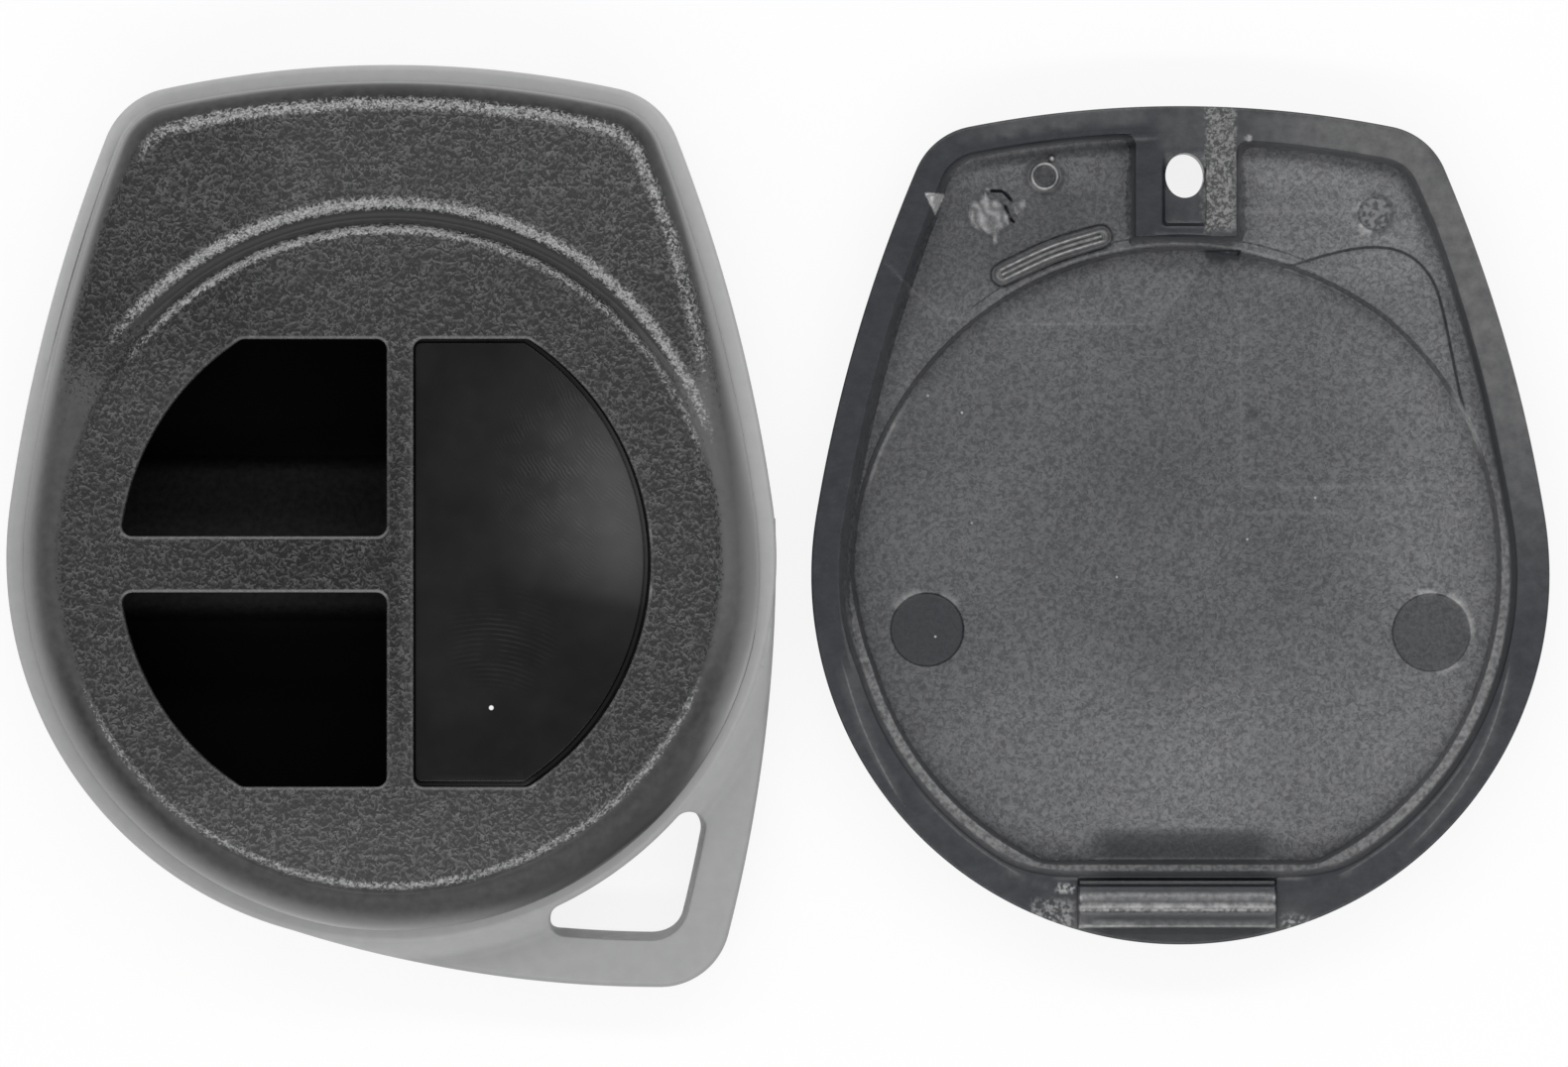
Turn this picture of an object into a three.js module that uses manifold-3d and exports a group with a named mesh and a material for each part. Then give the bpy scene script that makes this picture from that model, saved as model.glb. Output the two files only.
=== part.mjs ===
// An empty two-button key fob shell, opened: the front half lies face up and the rear cover lies beside it,
// inside up. Millimetres, +Z up. The origin is on the table, in the middle of the space the two halves take.

import * as THREE from 'three';
import { mergeVertices } from 'three/addons/utils/BufferGeometryUtils.js';
import Module from 'manifold-3d';

const wasm = await Module();
wasm.setup();

// Driving dimensions

// Plan outlines: a round body, bowed sides that leave it sideFrom degrees above its middle,
// small corners and a bowed head
const FRONT = { bodyR: 20.3, sideR: 86, sideFrom: 8, cornerR: 4.2, headR: 57.5, headY: 26 };
const REAR = { bodyR: 19.5, sideR: 80, sideFrom: 9.3, cornerR: 3.8, headR: 57.5, headY: 24.75 };

// Where the centres of the two round bodies lie
const FRONT_AT = { x: -20.4, y: -1.7 };
const REAR_AT = { x: 21.2, y: -2.6 };

const GAP = 0.3;
const CHORD_HEIGHT = 0.03;
const ROUND_STEPS = 3;
const MERGE_WITHIN = 1e-4;
const LEAST_CORNER = 0.4;
const PAST = 1;

// Grey band: its height, the ledge that carries the cover, the thin lip outside the cover,
// and its rounded edge
const BAND = { top: 5.6, ledge: 4, wall: 2, lip: 0.5, edge: 0.4 };
// Recess inside the band that the tongue of the rear cover hooks into
const HOOK_RECESS = { halfWidth: 6, from: -19.3, to: -17, top: 1.9 };

// Key-ring loop: bows of its two outer sides, where the lower one leaves the body,
// its corner and the web beside the hole
const LOOP = { rightR: 80, lowerR: 64, lowerAt: -109, cornerR: 3.7, web: 2.7 };
const LOOP_PLATE = { bottom: 0.5, top: 4.3, edge: 0.35 };
const LOOP_HOLE = { cornerR: 2, tipR: 0.9 };
const LOOP_ROOT = { depth: 1, overlap: 0.1, lead: 1.5 };

// Black front cover: its flat top, wall, skin and shoulder, and the raised round plateau
// with a groove above it
const COVER = { foot: BAND.ledge + GAP, top: 9.6, wall: 1.4, skin: 1.4, shoulder: 1.9 };
const PLATEAU = { r: 17.1, top: 10, edge: 0.3 };
const GROOVE = { inner: 17.1, outer: 18.6, floorInner: 17.6, floorOuter: 18.1, floor: 9.1, from: 6.5 };

// Windows in the plateau: one round opening with two flats, parted by an upright bar and a crossbar
const WINDOW = { x: -0.25, y: -0.25, r: 13.95, halfHeight: 11.75 };
const UPRIGHT = { from: 0.1, to: 1.5 };
const CROSSBAR = { from: -1.55, to: 1.4 };

// Inside the cover: the wall round the tray, and the post for the screw
const RING_WALL = { inner: 16.9, outer: 18.3 };
const POST = { x: 0.25, y: 21.1, r: 2.2, bore: 1.05, bottom: 1.6, boreTop: 7.9 };

// Gloss plate in the right window, with a flange behind the skin
const BADGE = { top: 9.5, thick: 2.6, flange: 0.8, flangeThick: 1 };

// Round tray behind the windows, with a raised strip across its floor
const TRAY = { r: 16.5, wall: 1, bottom: 0, floor: 1, top: 6.6 };
const TRAY_STRIP = { from: -3.4, to: 5.2, top: 1.9 };

// Self-tapping screw, parked in its post
const SCREW = { headR: 1.75, headBottom: 0.4, headTop: 1.3, shankR: 0.75, shankTop: 6.4, tip: 7.4 };
const DRIVE = { length: 2, width: 0.5, depth: 0.5 };

// Rear cover: rim height and width, the floor at the head, which goes on round the pocket as a ledge,
// the rounded outside, and the round pocket with its flat side
const SHELL = { rim: 4.5, rimWidth: 1.95, headFloor: 2.7, ledge: 0.45, round: 1.8 };
const POCKET = { r: 17.1, y: 0.2, floor: 1.3, flat: -15.7, flatCorner: 2.5 };
// Screw block: a box with a pocket open to the inside, and the hole through its floor
const BLOCK = { left: -2.35, right: 3.05, bottom: 17.9, headEnd: 23.6, top: 5.1 };
const BLOCK_POCKET = { left: -1.3, right: 1.3, bottom: 18.7, headEnd: 22.75, floor: 3 };
const SCREW_HOLE_R = 1.15;
// Tongue at the far end, with a nose that hooks outwards
const TONGUE = { halfWidth: 5.35, inner: -16.3, outer: -18.7, top: 5.4 };
const NOSE = { outer: -19.1, inner: -18.2, bottom: 4.9, top: 5.6 };
// Small moulded marks on the head floor: a ridged rib and a ring boss
const RIB = { from: { x: -9.15, y: 16.05 }, to: { x: -4.4, y: 17.75 }, width: 1.25, top: 3.5 };
const BOSS = { x: -7.2, y: 21.1, r: 0.85, bore: 0.45, top: 3.4 };

// Outlines

const { degToRad, euclideanModulo } = THREE.MathUtils;
const BODY_MIDDLE = { x: 0, y: 0 };

function bearing(from, to) {
  return Math.atan2(to.y - from.y, to.x - from.x);
}

// The crossing of two circles that lies to the right of the line from the first centre to the second
function crossing(first, firstR, second, secondR) {
  const apart = Math.hypot(second.x - first.x, second.y - first.y);
  const along = (firstR ** 2 - secondR ** 2 + apart ** 2) / (2 * apart);
  const aside = Math.sqrt(firstR ** 2 - along ** 2);
  const dx = (second.x - first.x) / apart;
  const dy = (second.y - first.y) / apart;
  return { x: first.x + dx * along + dy * aside, y: first.y + dy * along - dx * aside };
}

// Points along an arc, short of its end, where the next arc of the outline starts
function arc(centre, radius, from, to, clockwise = false) {
  const sweep = euclideanModulo(clockwise ? from - to : to - from, 2 * Math.PI);
  const steps = Math.max(2, Math.ceil(sweep / Math.sqrt(8 * CHORD_HEIGHT / radius)));
  const curve = new THREE.EllipseCurve(centre.x, centre.y, radius, radius, from, to, clockwise);
  return curve.getPoints(steps).slice(0, -1);
}

// The fob's plan outline, moved inwards by inset all round
function fobOutline(size, inset) {
  const start = degToRad(size.sideFrom);
  const reach = size.sideR - size.bodyR;
  const head = { x: 0, y: size.headY - size.headR };
  const side = { x: -reach * Math.cos(start), y: -reach * Math.sin(start) };
  const farSide = { x: -side.x, y: side.y };
  const bodyR = size.bodyR - inset;
  const sideR = size.sideR - inset;
  const headR = size.headR - inset;
  const cornerR = Math.max(size.cornerR - inset, LEAST_CORNER);
  const corner = crossing(head, headR - cornerR, side, sideR - cornerR);
  const farCorner = { x: -corner.x, y: corner.y };
  const sideEnd = bearing(side, corner);
  const headStart = bearing(head, corner);
  return [
    ...arc(BODY_MIDDLE, bodyR, Math.PI - start, start),
    ...arc(side, sideR, start, sideEnd),
    ...arc(corner, cornerR, sideEnd, headStart),
    ...arc(head, headR, headStart, Math.PI - headStart),
    ...arc(farCorner, cornerR, Math.PI - headStart, Math.PI - sideEnd),
    ...arc(farSide, sideR, Math.PI - sideEnd, Math.PI - start),
  ];
}

const LOOP_RIGHT = { x: FRONT.bodyR - LOOP.rightR, y: 0 };
const LOOP_LOWER = {
  x: (FRONT.bodyR - LOOP.lowerR) * Math.cos(degToRad(LOOP.lowerAt)),
  y: (FRONT.bodyR - LOOP.lowerR) * Math.sin(degToRad(LOOP.lowerAt)),
};

// The loop's plate: two bowed sides and a round corner outside, and a root inside the band
function loopOutline() {
  const rightR = LOOP.rightR - LOOP_ROOT.overlap;
  const lowerR = LOOP.lowerR - LOOP_ROOT.overlap;
  const corner = crossing(LOOP_RIGHT, rightR - LOOP.cornerR, LOOP_LOWER, lowerR - LOOP.cornerR);
  const lead = degToRad(LOOP_ROOT.lead);
  const lowerEnd = degToRad(LOOP.lowerAt);
  const cornerStart = bearing(LOOP_RIGHT, corner);
  const cornerEnd = bearing(LOOP_LOWER, corner);
  return [
    ...arc(LOOP_RIGHT, rightR, lead, cornerStart, true),
    ...arc(corner, LOOP.cornerR, cornerStart, cornerEnd, true),
    ...arc(LOOP_LOWER, lowerR, cornerEnd, lowerEnd - lead, true),
    ...arc(BODY_MIDDLE, FRONT.bodyR - LOOP_ROOT.depth, lowerEnd, 0),
  ];
}

// The loop's hole: one side follows the round body, the other two follow the plate's outer sides
function loopHoleOutline() {
  const bodyR = FRONT.bodyR;
  const rightR = LOOP.rightR - LOOP.web;
  const lowerR = LOOP.lowerR - LOOP.web;
  const { cornerR, tipR } = LOOP_HOLE;
  const upperTip = crossing(LOOP_RIGHT, rightR - tipR, BODY_MIDDLE, bodyR + tipR);
  const corner = crossing(LOOP_RIGHT, rightR - cornerR, LOOP_LOWER, lowerR - cornerR);
  const lowerTip = crossing(BODY_MIDDLE, bodyR + tipR, LOOP_LOWER, lowerR - tipR);
  return [
    ...arc(upperTip, tipR, bearing(upperTip, BODY_MIDDLE), bearing(LOOP_RIGHT, upperTip), true),
    ...arc(LOOP_RIGHT, rightR, bearing(LOOP_RIGHT, upperTip), bearing(LOOP_RIGHT, corner), true),
    ...arc(corner, cornerR, bearing(LOOP_RIGHT, corner), bearing(LOOP_LOWER, corner), true),
    ...arc(LOOP_LOWER, lowerR, bearing(LOOP_LOWER, corner), bearing(LOOP_LOWER, lowerTip), true),
    ...arc(lowerTip, tipR, bearing(LOOP_LOWER, lowerTip), bearing(lowerTip, BODY_MIDDLE), true),
    ...arc(BODY_MIDDLE, bodyR, bearing(BODY_MIDDLE, lowerTip), bearing(BODY_MIDDLE, upperTip)),
  ];
}

// A bar with round ends between two points
function barOutline(from, to, width) {
  const along = bearing(from, to);
  const quarter = Math.PI / 2;
  return [
    ...arc(to, width / 2, along - quarter, along + quarter),
    ...arc(from, width / 2, along + quarter, along - quarter),
  ];
}

// The round transmitter pocket, with one flat side whose corners are rounded
function pocketOutline() {
  const { r, flat, flatCorner } = POCKET;
  const rise = flat + flatCorner;
  const corner = { x: Math.sqrt((r - flatCorner) ** 2 - rise ** 2), y: rise };
  const farCorner = { x: -corner.x, y: corner.y };
  const down = -Math.PI / 2;
  const cornerEnd = bearing(BODY_MIDDLE, corner);
  return [
    ...arc(corner, flatCorner, down, cornerEnd),
    ...arc(BODY_MIDDLE, r, cornerEnd, Math.PI - cornerEnd),
    ...arc(farCorner, flatCorner, Math.PI - cornerEnd, down),
  ];
}

// Solids

function solid(geometry) {
  geometry.deleteAttribute('normal');
  geometry.deleteAttribute('uv');
  const merged = mergeVertices(geometry, MERGE_WITHIN);
  const vertProperties = new Float32Array(merged.attributes.position.array);
  const triVerts = new Uint32Array(merged.index.array);
  return new wasm.Manifold(new wasm.Mesh({ numProp: 3, vertProperties, triVerts }));
}

// A plate of the given outline between two heights, with its edges rounded over
function plate(points, bottom, top, round = 0) {
  const geometry = new THREE.ExtrudeGeometry(new THREE.Shape(points), {
    depth: top - bottom - 2 * round,
    bevelEnabled: round > 0,
    bevelSize: round,
    bevelThickness: round,
    bevelOffset: -round,
    bevelSegments: ROUND_STEPS,
  });
  geometry.translate(0, 0, bottom + round);
  return solid(geometry);
}

function block(left, right, near, far, bottom, top) {
  const geometry = new THREE.BoxGeometry(right - left, far - near, top - bottom);
  geometry.translate((left + right) / 2, (near + far) / 2, (bottom + top) / 2);
  return solid(geometry);
}

// A turned piece about a vertical axis; the profile is [radius, height] pairs from the bottom to the top
function turned(profile, at = BODY_MIDDLE) {
  const largest = Math.max(...profile.map(([radius]) => radius));
  const segments = Math.ceil(2 * Math.PI / Math.sqrt(8 * CHORD_HEIGHT / largest));
  const points = profile.map(([radius, height]) => new THREE.Vector2(radius, height));
  const geometry = new THREE.LatheGeometry(points, segments);
  geometry.rotateX(Math.PI / 2);
  geometry.translate(at.x, at.y, 0);
  return solid(geometry);
}

function disc(radius, bottom, top, at) {
  return turned([[0, bottom], [radius, bottom], [radius, top], [0, top]], at);
}

function ring(inner, outer, bottom, top, at) {
  return turned([[inner, bottom], [outer, bottom], [outer, top], [inner, top], [inner, bottom]], at);
}

// A part of the round window opening between two x and two y lines, all moved outwards by spread
function windowPart(left, right, near, far, spread, bottom, top) {
  const round = disc(WINDOW.r + spread, bottom, top, WINDOW);
  const sides = block(
    WINDOW.x + left - spread,
    WINDOW.x + right + spread,
    WINDOW.y + near - spread,
    WINDOW.y + far + spread,
    bottom,
    top,
  );
  return round.intersect(sides);
}

// Pieces

function outerFrame() {
  const band = plate(fobOutline(FRONT, 0), 0, BAND.top, BAND.edge);
  const loop = plate(loopOutline(), LOOP_PLATE.bottom, LOOP_PLATE.top, LOOP_PLATE.edge);
  const inside = plate(fobOutline(FRONT, BAND.wall), -PAST, BAND.top + PAST);
  const seat = plate(fobOutline(FRONT, BAND.lip), BAND.ledge, BAND.top + PAST);
  const hole = plate(loopHoleOutline(), LOOP_PLATE.bottom - PAST, LOOP_PLATE.top + PAST);
  const { halfWidth, from, to, top } = HOOK_RECESS;
  const recess = block(-halfWidth, halfWidth, from, to, -PAST, top);
  return band.add(loop).subtract(inside).subtract(seat).subtract(hole).subtract(recess);
}

function coverBody() {
  const inset = BAND.lip + GAP;
  const below = COVER.foot - COVER.shoulder - PAST;
  const outside = plate(fobOutline(FRONT, inset), below, COVER.top, COVER.shoulder);
  const underside = COVER.top - COVER.skin;
  const inside = plate(fobOutline(FRONT, inset + COVER.wall), below - PAST, underside);
  const table = block(-FRONT.headR, FRONT.headR, -FRONT.headR, FRONT.headR, below - PAST, COVER.foot);
  const { r, top, edge } = PLATEAU;
  const plateau = turned([[0, underside], [r, underside], [r, top - edge], [r - edge, top], [0, top]]);
  return outside.subtract(inside).subtract(table).add(plateau);
}

function coverGroove() {
  const { inner, outer, floorInner, floorOuter, floor, from } = GROOVE;
  const lip = PLATEAU.top + PAST;
  const foot = [floorInner, floor];
  const section = [foot, [floorOuter, floor], [outer, lip], [inner, lip], foot];
  const headSide = block(-FRONT.headR, FRONT.headR, from, FRONT.headR, floor - PAST, lip + PAST);
  return turned(section).intersect(headSide);
}

function frontCover() {
  const underside = COVER.top - COVER.skin;
  const ringWall = ring(RING_WALL.inner, RING_WALL.outer, COVER.foot, underside + GAP);
  const post = disc(POST.r, POST.bottom, underside + GAP, POST);
  const bore = disc(POST.bore, POST.bottom - PAST, POST.boreTop, POST);
  const { r, halfHeight } = WINDOW;
  const upper = windowPart(-r, UPRIGHT.from, CROSSBAR.to, halfHeight, 0, 0, PLATEAU.top + PAST);
  const lower = windowPart(-r, UPRIGHT.from, -halfHeight, CROSSBAR.from, 0, 0, PLATEAU.top + PAST);
  const right = windowPart(UPRIGHT.to, r, -halfHeight, halfHeight, 0, 0, PLATEAU.top + PAST);
  const body = coverBody().add(ringWall).add(post).subtract(bore).subtract(coverGroove());
  return body.subtract(upper).subtract(lower).subtract(right);
}

function badgePlate() {
  const { r, halfHeight } = WINDOW;
  const bottom = BADGE.top - BADGE.thick;
  const flangeTop = bottom + BADGE.flangeThick;
  const face = windowPart(UPRIGHT.to, r, -halfHeight, halfHeight, -GAP, bottom, BADGE.top);
  const flange = windowPart(UPRIGHT.to, r, -halfHeight, halfHeight, BADGE.flange, bottom, flangeTop);
  return face.add(flange);
}

function transmitterTray() {
  const { r, wall, bottom, floor, top } = TRAY;
  const innerR = r - wall;
  const dish = turned([[0, bottom], [r, bottom], [r, top], [innerR, top], [innerR, floor], [0, floor]]);
  const strip = block(-r, r, TRAY_STRIP.from, TRAY_STRIP.to, bottom + GAP, TRAY_STRIP.top);
  return dish.add(strip.intersect(disc(r - wall / 2, bottom, top)));
}

function coverScrew() {
  const { headR, headBottom, headTop, shankR, shankTop, tip } = SCREW;
  const head = [[0, headBottom], [headR, headBottom], [headR, headTop]];
  const shank = [[shankR, headTop], [shankR, shankTop], [0, tip]];
  const screw = turned([...head, ...shank], POST);
  const half = DRIVE.length / 2;
  const thin = DRIVE.width / 2;
  const low = headBottom - PAST;
  const high = headBottom + DRIVE.depth;
  const slot = block(POST.x - half, POST.x + half, POST.y - thin, POST.y + thin, low, high);
  const crossSlot = block(POST.x - thin, POST.x + thin, POST.y - half, POST.y + half, low, high);
  return screw.subtract(slot).subtract(crossSlot);
}

function screwBlock() {
  const { left, right, bottom, headEnd, top } = BLOCK;
  const box = block(left, right, bottom, headEnd, SHELL.headFloor - GAP, top);
  const cut = BLOCK_POCKET;
  const pocket = block(cut.left, cut.right, cut.bottom, cut.headEnd, cut.floor, top + PAST);
  return box.subtract(pocket);
}

function hookTongue() {
  const { halfWidth, inner, outer, top } = TONGUE;
  const stem = block(-halfWidth, halfWidth, outer, inner, SHELL.headFloor, top);
  const nose = block(-halfWidth, halfWidth, NOSE.outer, NOSE.inner, NOSE.bottom, NOSE.top);
  return stem.add(nose);
}

function rearCover() {
  const tall = SHELL.rim + SHELL.round + PAST;
  const outside = plate(fobOutline(REAR, 0), 0, tall, SHELL.round);
  const above = block(-REAR.headR, REAR.headR, -REAR.headR, REAR.headR, SHELL.rim, tall + PAST);
  const inside = plate(fobOutline(REAR, SHELL.rimWidth), SHELL.headFloor, tall);
  const ledgeEnd = POCKET.y + POCKET.flat - SHELL.ledge;
  const clear = block(-REAR.headR, REAR.headR, ledgeEnd, REAR.headR, 0, tall);
  const pocket = plate(pocketOutline(), POCKET.floor, tall).translate([0, POCKET.y, 0]);
  const rib = plate(barOutline(RIB.from, RIB.to, RIB.width), SHELL.headFloor - GAP, RIB.top);
  const boss = ring(BOSS.bore, BOSS.r, SHELL.headFloor - GAP, BOSS.top, BOSS);
  const hole = disc(SCREW_HOLE_R, -PAST, tall, POST);
  const shell = outside.subtract(above).subtract(inside.intersect(clear)).subtract(pocket);
  return shell.add(screwBlock()).add(hookTongue()).add(rib).add(boss).subtract(hole);
}

// Scene

function piece(name, shape, color, roughness, metalness = 0) {
  const { vertProperties, triVerts } = shape.getMesh();
  const geometry = new THREE.BufferGeometry();
  geometry.setAttribute('position', new THREE.BufferAttribute(vertProperties, 3));
  geometry.setIndex(new THREE.BufferAttribute(triVerts, 1));
  geometry.computeVertexNormals();
  const mesh = new THREE.Mesh(geometry, new THREE.MeshStandardMaterial({ color, roughness, metalness }));
  mesh.name = name;
  return mesh;
}

const frontHalf = new THREE.Group();
frontHalf.position.set(FRONT_AT.x, FRONT_AT.y, 0);
frontHalf.add(
  piece('outer_frame', outerFrame(), 0x9d9d9d, 0.5),
  piece('front_cover', frontCover(), 0x2c2c2d, 0.6),
  piece('badge_plate', badgePlate(), 0x161617, 0.25),
  piece('transmitter_tray', transmitterTray(), 0x121212, 0.6),
  piece('cover_screw', coverScrew(), 0xb0b0ae, 0.35, 1),
);

const rearHalf = new THREE.Group();
rearHalf.position.set(REAR_AT.x, REAR_AT.y, 0);
rearHalf.add(piece('rear_cover', rearCover(), 0x36373a, 0.45));

const shell = new THREE.Group();
shell.add(frontHalf, rearHalf);

export default shell;
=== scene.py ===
import math

import bmesh
import bpy
import numpy as np
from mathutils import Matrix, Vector
from mathutils.geometry import delaunay_2d_cdt


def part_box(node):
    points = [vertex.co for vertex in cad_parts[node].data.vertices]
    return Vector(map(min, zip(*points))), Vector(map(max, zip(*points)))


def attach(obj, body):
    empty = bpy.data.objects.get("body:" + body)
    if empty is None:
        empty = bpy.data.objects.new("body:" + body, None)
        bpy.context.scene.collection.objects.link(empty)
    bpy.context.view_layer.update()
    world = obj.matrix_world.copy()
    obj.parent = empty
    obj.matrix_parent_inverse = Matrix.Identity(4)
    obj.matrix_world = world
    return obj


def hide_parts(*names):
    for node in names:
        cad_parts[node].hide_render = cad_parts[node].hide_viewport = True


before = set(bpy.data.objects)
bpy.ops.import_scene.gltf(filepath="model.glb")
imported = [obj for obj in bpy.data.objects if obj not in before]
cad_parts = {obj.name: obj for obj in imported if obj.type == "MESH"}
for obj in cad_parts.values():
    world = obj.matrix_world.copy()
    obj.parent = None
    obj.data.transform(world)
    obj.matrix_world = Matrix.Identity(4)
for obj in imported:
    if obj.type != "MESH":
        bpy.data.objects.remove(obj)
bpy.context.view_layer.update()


# Outer frame
# The light grey band round the front half, with the flat key-ring loop at its lower right. It is one injection
# moulding of satin, through-coloured plastic, and the black cover is pressed onto the ledge inside it.

MM = 0.001


def box_mm(node):
    low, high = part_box(node)
    return np.array(low) / MM, np.array(high) / MM


tray_low, tray_high = box_mm("transmitter_tray")
frame_low, frame_high = box_mm("outer_frame")
FRONT_MIDDLE = (tray_low[:2] + tray_high[:2]) / 2
BODY_R = FRONT_MIDDLE[0] - frame_low[0]


def bearing(start, end):
    return math.atan2(end[1] - start[1], end[0] - start[0])


def circles_cross(first, first_r, second, second_r):
    """The crossing of two circles on the right of the line from the first centre to the second."""
    apart = math.dist(first, second)
    along = (first_r ** 2 - second_r ** 2 + apart ** 2) / (2 * apart)
    aside = math.sqrt(first_r ** 2 - along ** 2)
    dx, dy = (second[0] - first[0]) / apart, (second[1] - first[1]) / apart
    return first[0] + dx * along + dy * aside, first[1] + dy * along - dx * aside


def fob_plan(body_r, side_r, side_from, corner_r, head_y, head_r=57.5):
    """The plan of one half from its middle: a round body, bowed sides, small corners and a bowed head.

    It gives the function that tells how far inside this outline a point lies."""
    side = ((body_r - side_r) * math.cos(side_from), (body_r - side_r) * math.sin(side_from))
    head = (0, head_y - head_r)
    corner = circles_cross(head, head_r - corner_r, side, side_r - corner_r)

    def inset(x, y):
        across = np.abs(x)
        from_side = side_r - np.hypot(across - side[0], y - side[1])
        from_head = head_r - np.hypot(x, y - head[1])
        from_corner = corner_r - np.hypot(across - corner[0], y - corner[1])
        turn = np.arctan2(y - corner[1], across - corner[0])
        at_corner = (turn > bearing(side, corner)) & (turn < bearing(head, corner))
        upper = np.where(at_corner, from_corner, np.minimum(from_side, from_head))
        return np.where(np.arctan2(y, across) < side_from, body_r - np.hypot(x, y), upper)

    return inset


front_inset = fob_plan(
    body_r=BODY_R, side_r=86, side_from=math.radians(8), corner_r=4.2, head_y=frame_high[1] - FRONT_MIDDLE[1]
)
RING_POINTS, RING_REACH, RING_HALVINGS = 720, 45.0, 40
WELD = 1e-7


def turns_of(count):
    return np.linspace(0, 2 * math.pi, count, endpoint=False)


def spokes(middle, radius, turns):
    """Points at a radius from a middle, one for each angle."""
    return np.column_stack([middle[0] + radius * np.cos(turns), middle[1] + radius * np.sin(turns)])


def circle_of(radius, count=240, middle=(0, 0)):
    return spokes(middle, radius, turns_of(count))


def ring_at(inset_of, inset, middle=(0, 0), count=RING_POINTS):
    """The closed line of points that lie inset inside an outline, one on each ray from the middle."""
    across, along = np.cos(turns_of(count)), np.sin(turns_of(count))
    near, far = np.zeros(count), np.full(count, RING_REACH)
    for _ in range(RING_HALVINGS):
        half = (near + far) / 2
        inside = inset_of(middle[0] + half * across, middle[1] + half * along) > inset
        near, far = np.where(inside, half, near), np.where(inside, far, half)
    return circle_of(near, count, middle)


def lift(line, height):
    return np.column_stack([line, np.broadcast_to(height, len(line))])


def loft(rings, closed=False):
    """The skin over a row of rings with the same number of points; closed joins the last to the first."""
    index = np.arange(len(rings) * len(rings[0])).reshape(len(rings), -1)
    if closed:
        index = np.vstack([index, index[:1]])
    after = np.roll(index, -1, axis=1)
    quads = np.stack([index[:-1], after[:-1], after[1:], index[1:]], axis=-1)
    return np.concatenate(rings), quads.reshape(-1, 4).tolist()


def bend(inset, height, radius, start, end, steps=5):
    """Points of a rounded edge in an (inset, height) profile; the angles are in degrees."""
    turns = np.radians(np.linspace(start, end, steps))
    return [(inset + radius * math.cos(turn), height + radius * math.sin(turn)) for turn in turns]


def solid(name, skins, middle):
    """One closed mesh object from skins that meet along shared points."""
    verts, faces = [], []
    for skin_verts, skin_faces in skins:
        faces.extend([[len(verts) + place for place in face] for face in skin_faces])
        verts.extend(((np.asarray(skin_verts) + [middle[0], middle[1], 0]) * MM).tolist())
    mesh = bpy.data.meshes.new(name)
    mesh.from_pydata(verts, [], faces)
    work = bmesh.new()
    work.from_mesh(mesh)
    bmesh.ops.remove_doubles(work, verts=work.verts, dist=WELD)
    bmesh.ops.recalc_face_normals(work, faces=work.faces)
    work.to_mesh(mesh)
    work.free()
    piece = bpy.data.objects.new(name, mesh)
    bpy.context.collection.objects.link(piece)
    return piece


def bell(value, middle, width):
    return np.exp(-(((value - middle) / width) ** 2))


def by_turn(turn, table):
    """A value from a table of angles round the body, which are in degrees from the +X side."""
    return np.interp(turn, np.radians(list(table)), list(table.values()))


# The band's section: a rounded lip outside the cover, the ledge that carries it, and the open inside. The lip is
# narrower beside the loop, and the mould has left a fine parting line along it on the left.
BAND_TOP = frame_high[2]
BAND = {"ledge": 4.0, "wall": 2.0, "edge": 0.3, "crest": 0.03, "side": 2.8}
LIP_WIDTH = {
    -180: 0.92, -135: 0.9, -114: 0.84, -98: 0.7, -45: 0.68, -14: 0.72, 2: 0.94, 40: 0.96, 90: 0.93, 140: 0.92,
}
PARTING = {"inset": 0.68, "half": 0.05, "deep": 0.1, "at": math.radians(138), "along": math.radians(12)}
ring_turns = turns_of(RING_POINTS)
signed_turns = (ring_turns + math.pi) % (2 * math.pi) - math.pi
lip_width = by_turn(signed_turns, LIP_WIDTH)
parting_dip = PARTING["deep"] * bell(ring_turns, PARTING["at"], PARTING["along"])
band_section = [
    *bend(BAND["edge"], BAND["edge"], BAND["edge"], 270, 180),
    (0, BAND["side"]),
    *bend(BAND["edge"], BAND_TOP - BAND["edge"], BAND["edge"], 180, 90, 8),
    (PARTING["inset"] - PARTING["half"], BAND_TOP),
    (PARTING["inset"], BAND_TOP - parting_dip),
    (PARTING["inset"] + PARTING["half"], BAND_TOP),
    *bend(lip_width - BAND["crest"], BAND_TOP - BAND["crest"], BAND["crest"], 90, 0, 4),
    (lip_width, BAND["ledge"]),
    (BAND["wall"] - BAND["crest"], BAND["ledge"]),
    (BAND["wall"], BAND["ledge"] - BAND["crest"]),
    (BAND["wall"], BAND["crest"]),
    (BAND["wall"] - BAND["crest"], 0),
]
band_rings = [lift(ring_at(front_inset, inset), height) for inset, height in band_section]
outer_frame = solid("grey_outer_frame", [loft(band_rings, closed=True)], FRONT_MIDDLE)

# The loop's plate: two bowed sides and a round corner, with its root inside the band
LOOP = {"right_r": 80, "lower_r": 64, "lower_at": math.radians(-109), "corner_r": 3.7}
LOOP_WEB = {"right": 2.42, "lower": 2.52}
LOOP_ROOT = {"depth": 1.0, "overlap": 0.03, "lead": math.radians(1.5)}
LOOP_BOTTOM, LOOP_TOP, LOOP_EDGE, LOOP_LATTICE = 0.5, 4.3, 0.3, 0.22
LOOP_RIGHT = (BODY_R - LOOP["right_r"], 0)
LOOP_LOWER = (
    (BODY_R - LOOP["lower_r"]) * math.cos(LOOP["lower_at"]),
    (BODY_R - LOOP["lower_r"]) * math.sin(LOOP["lower_at"]),
)


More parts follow.
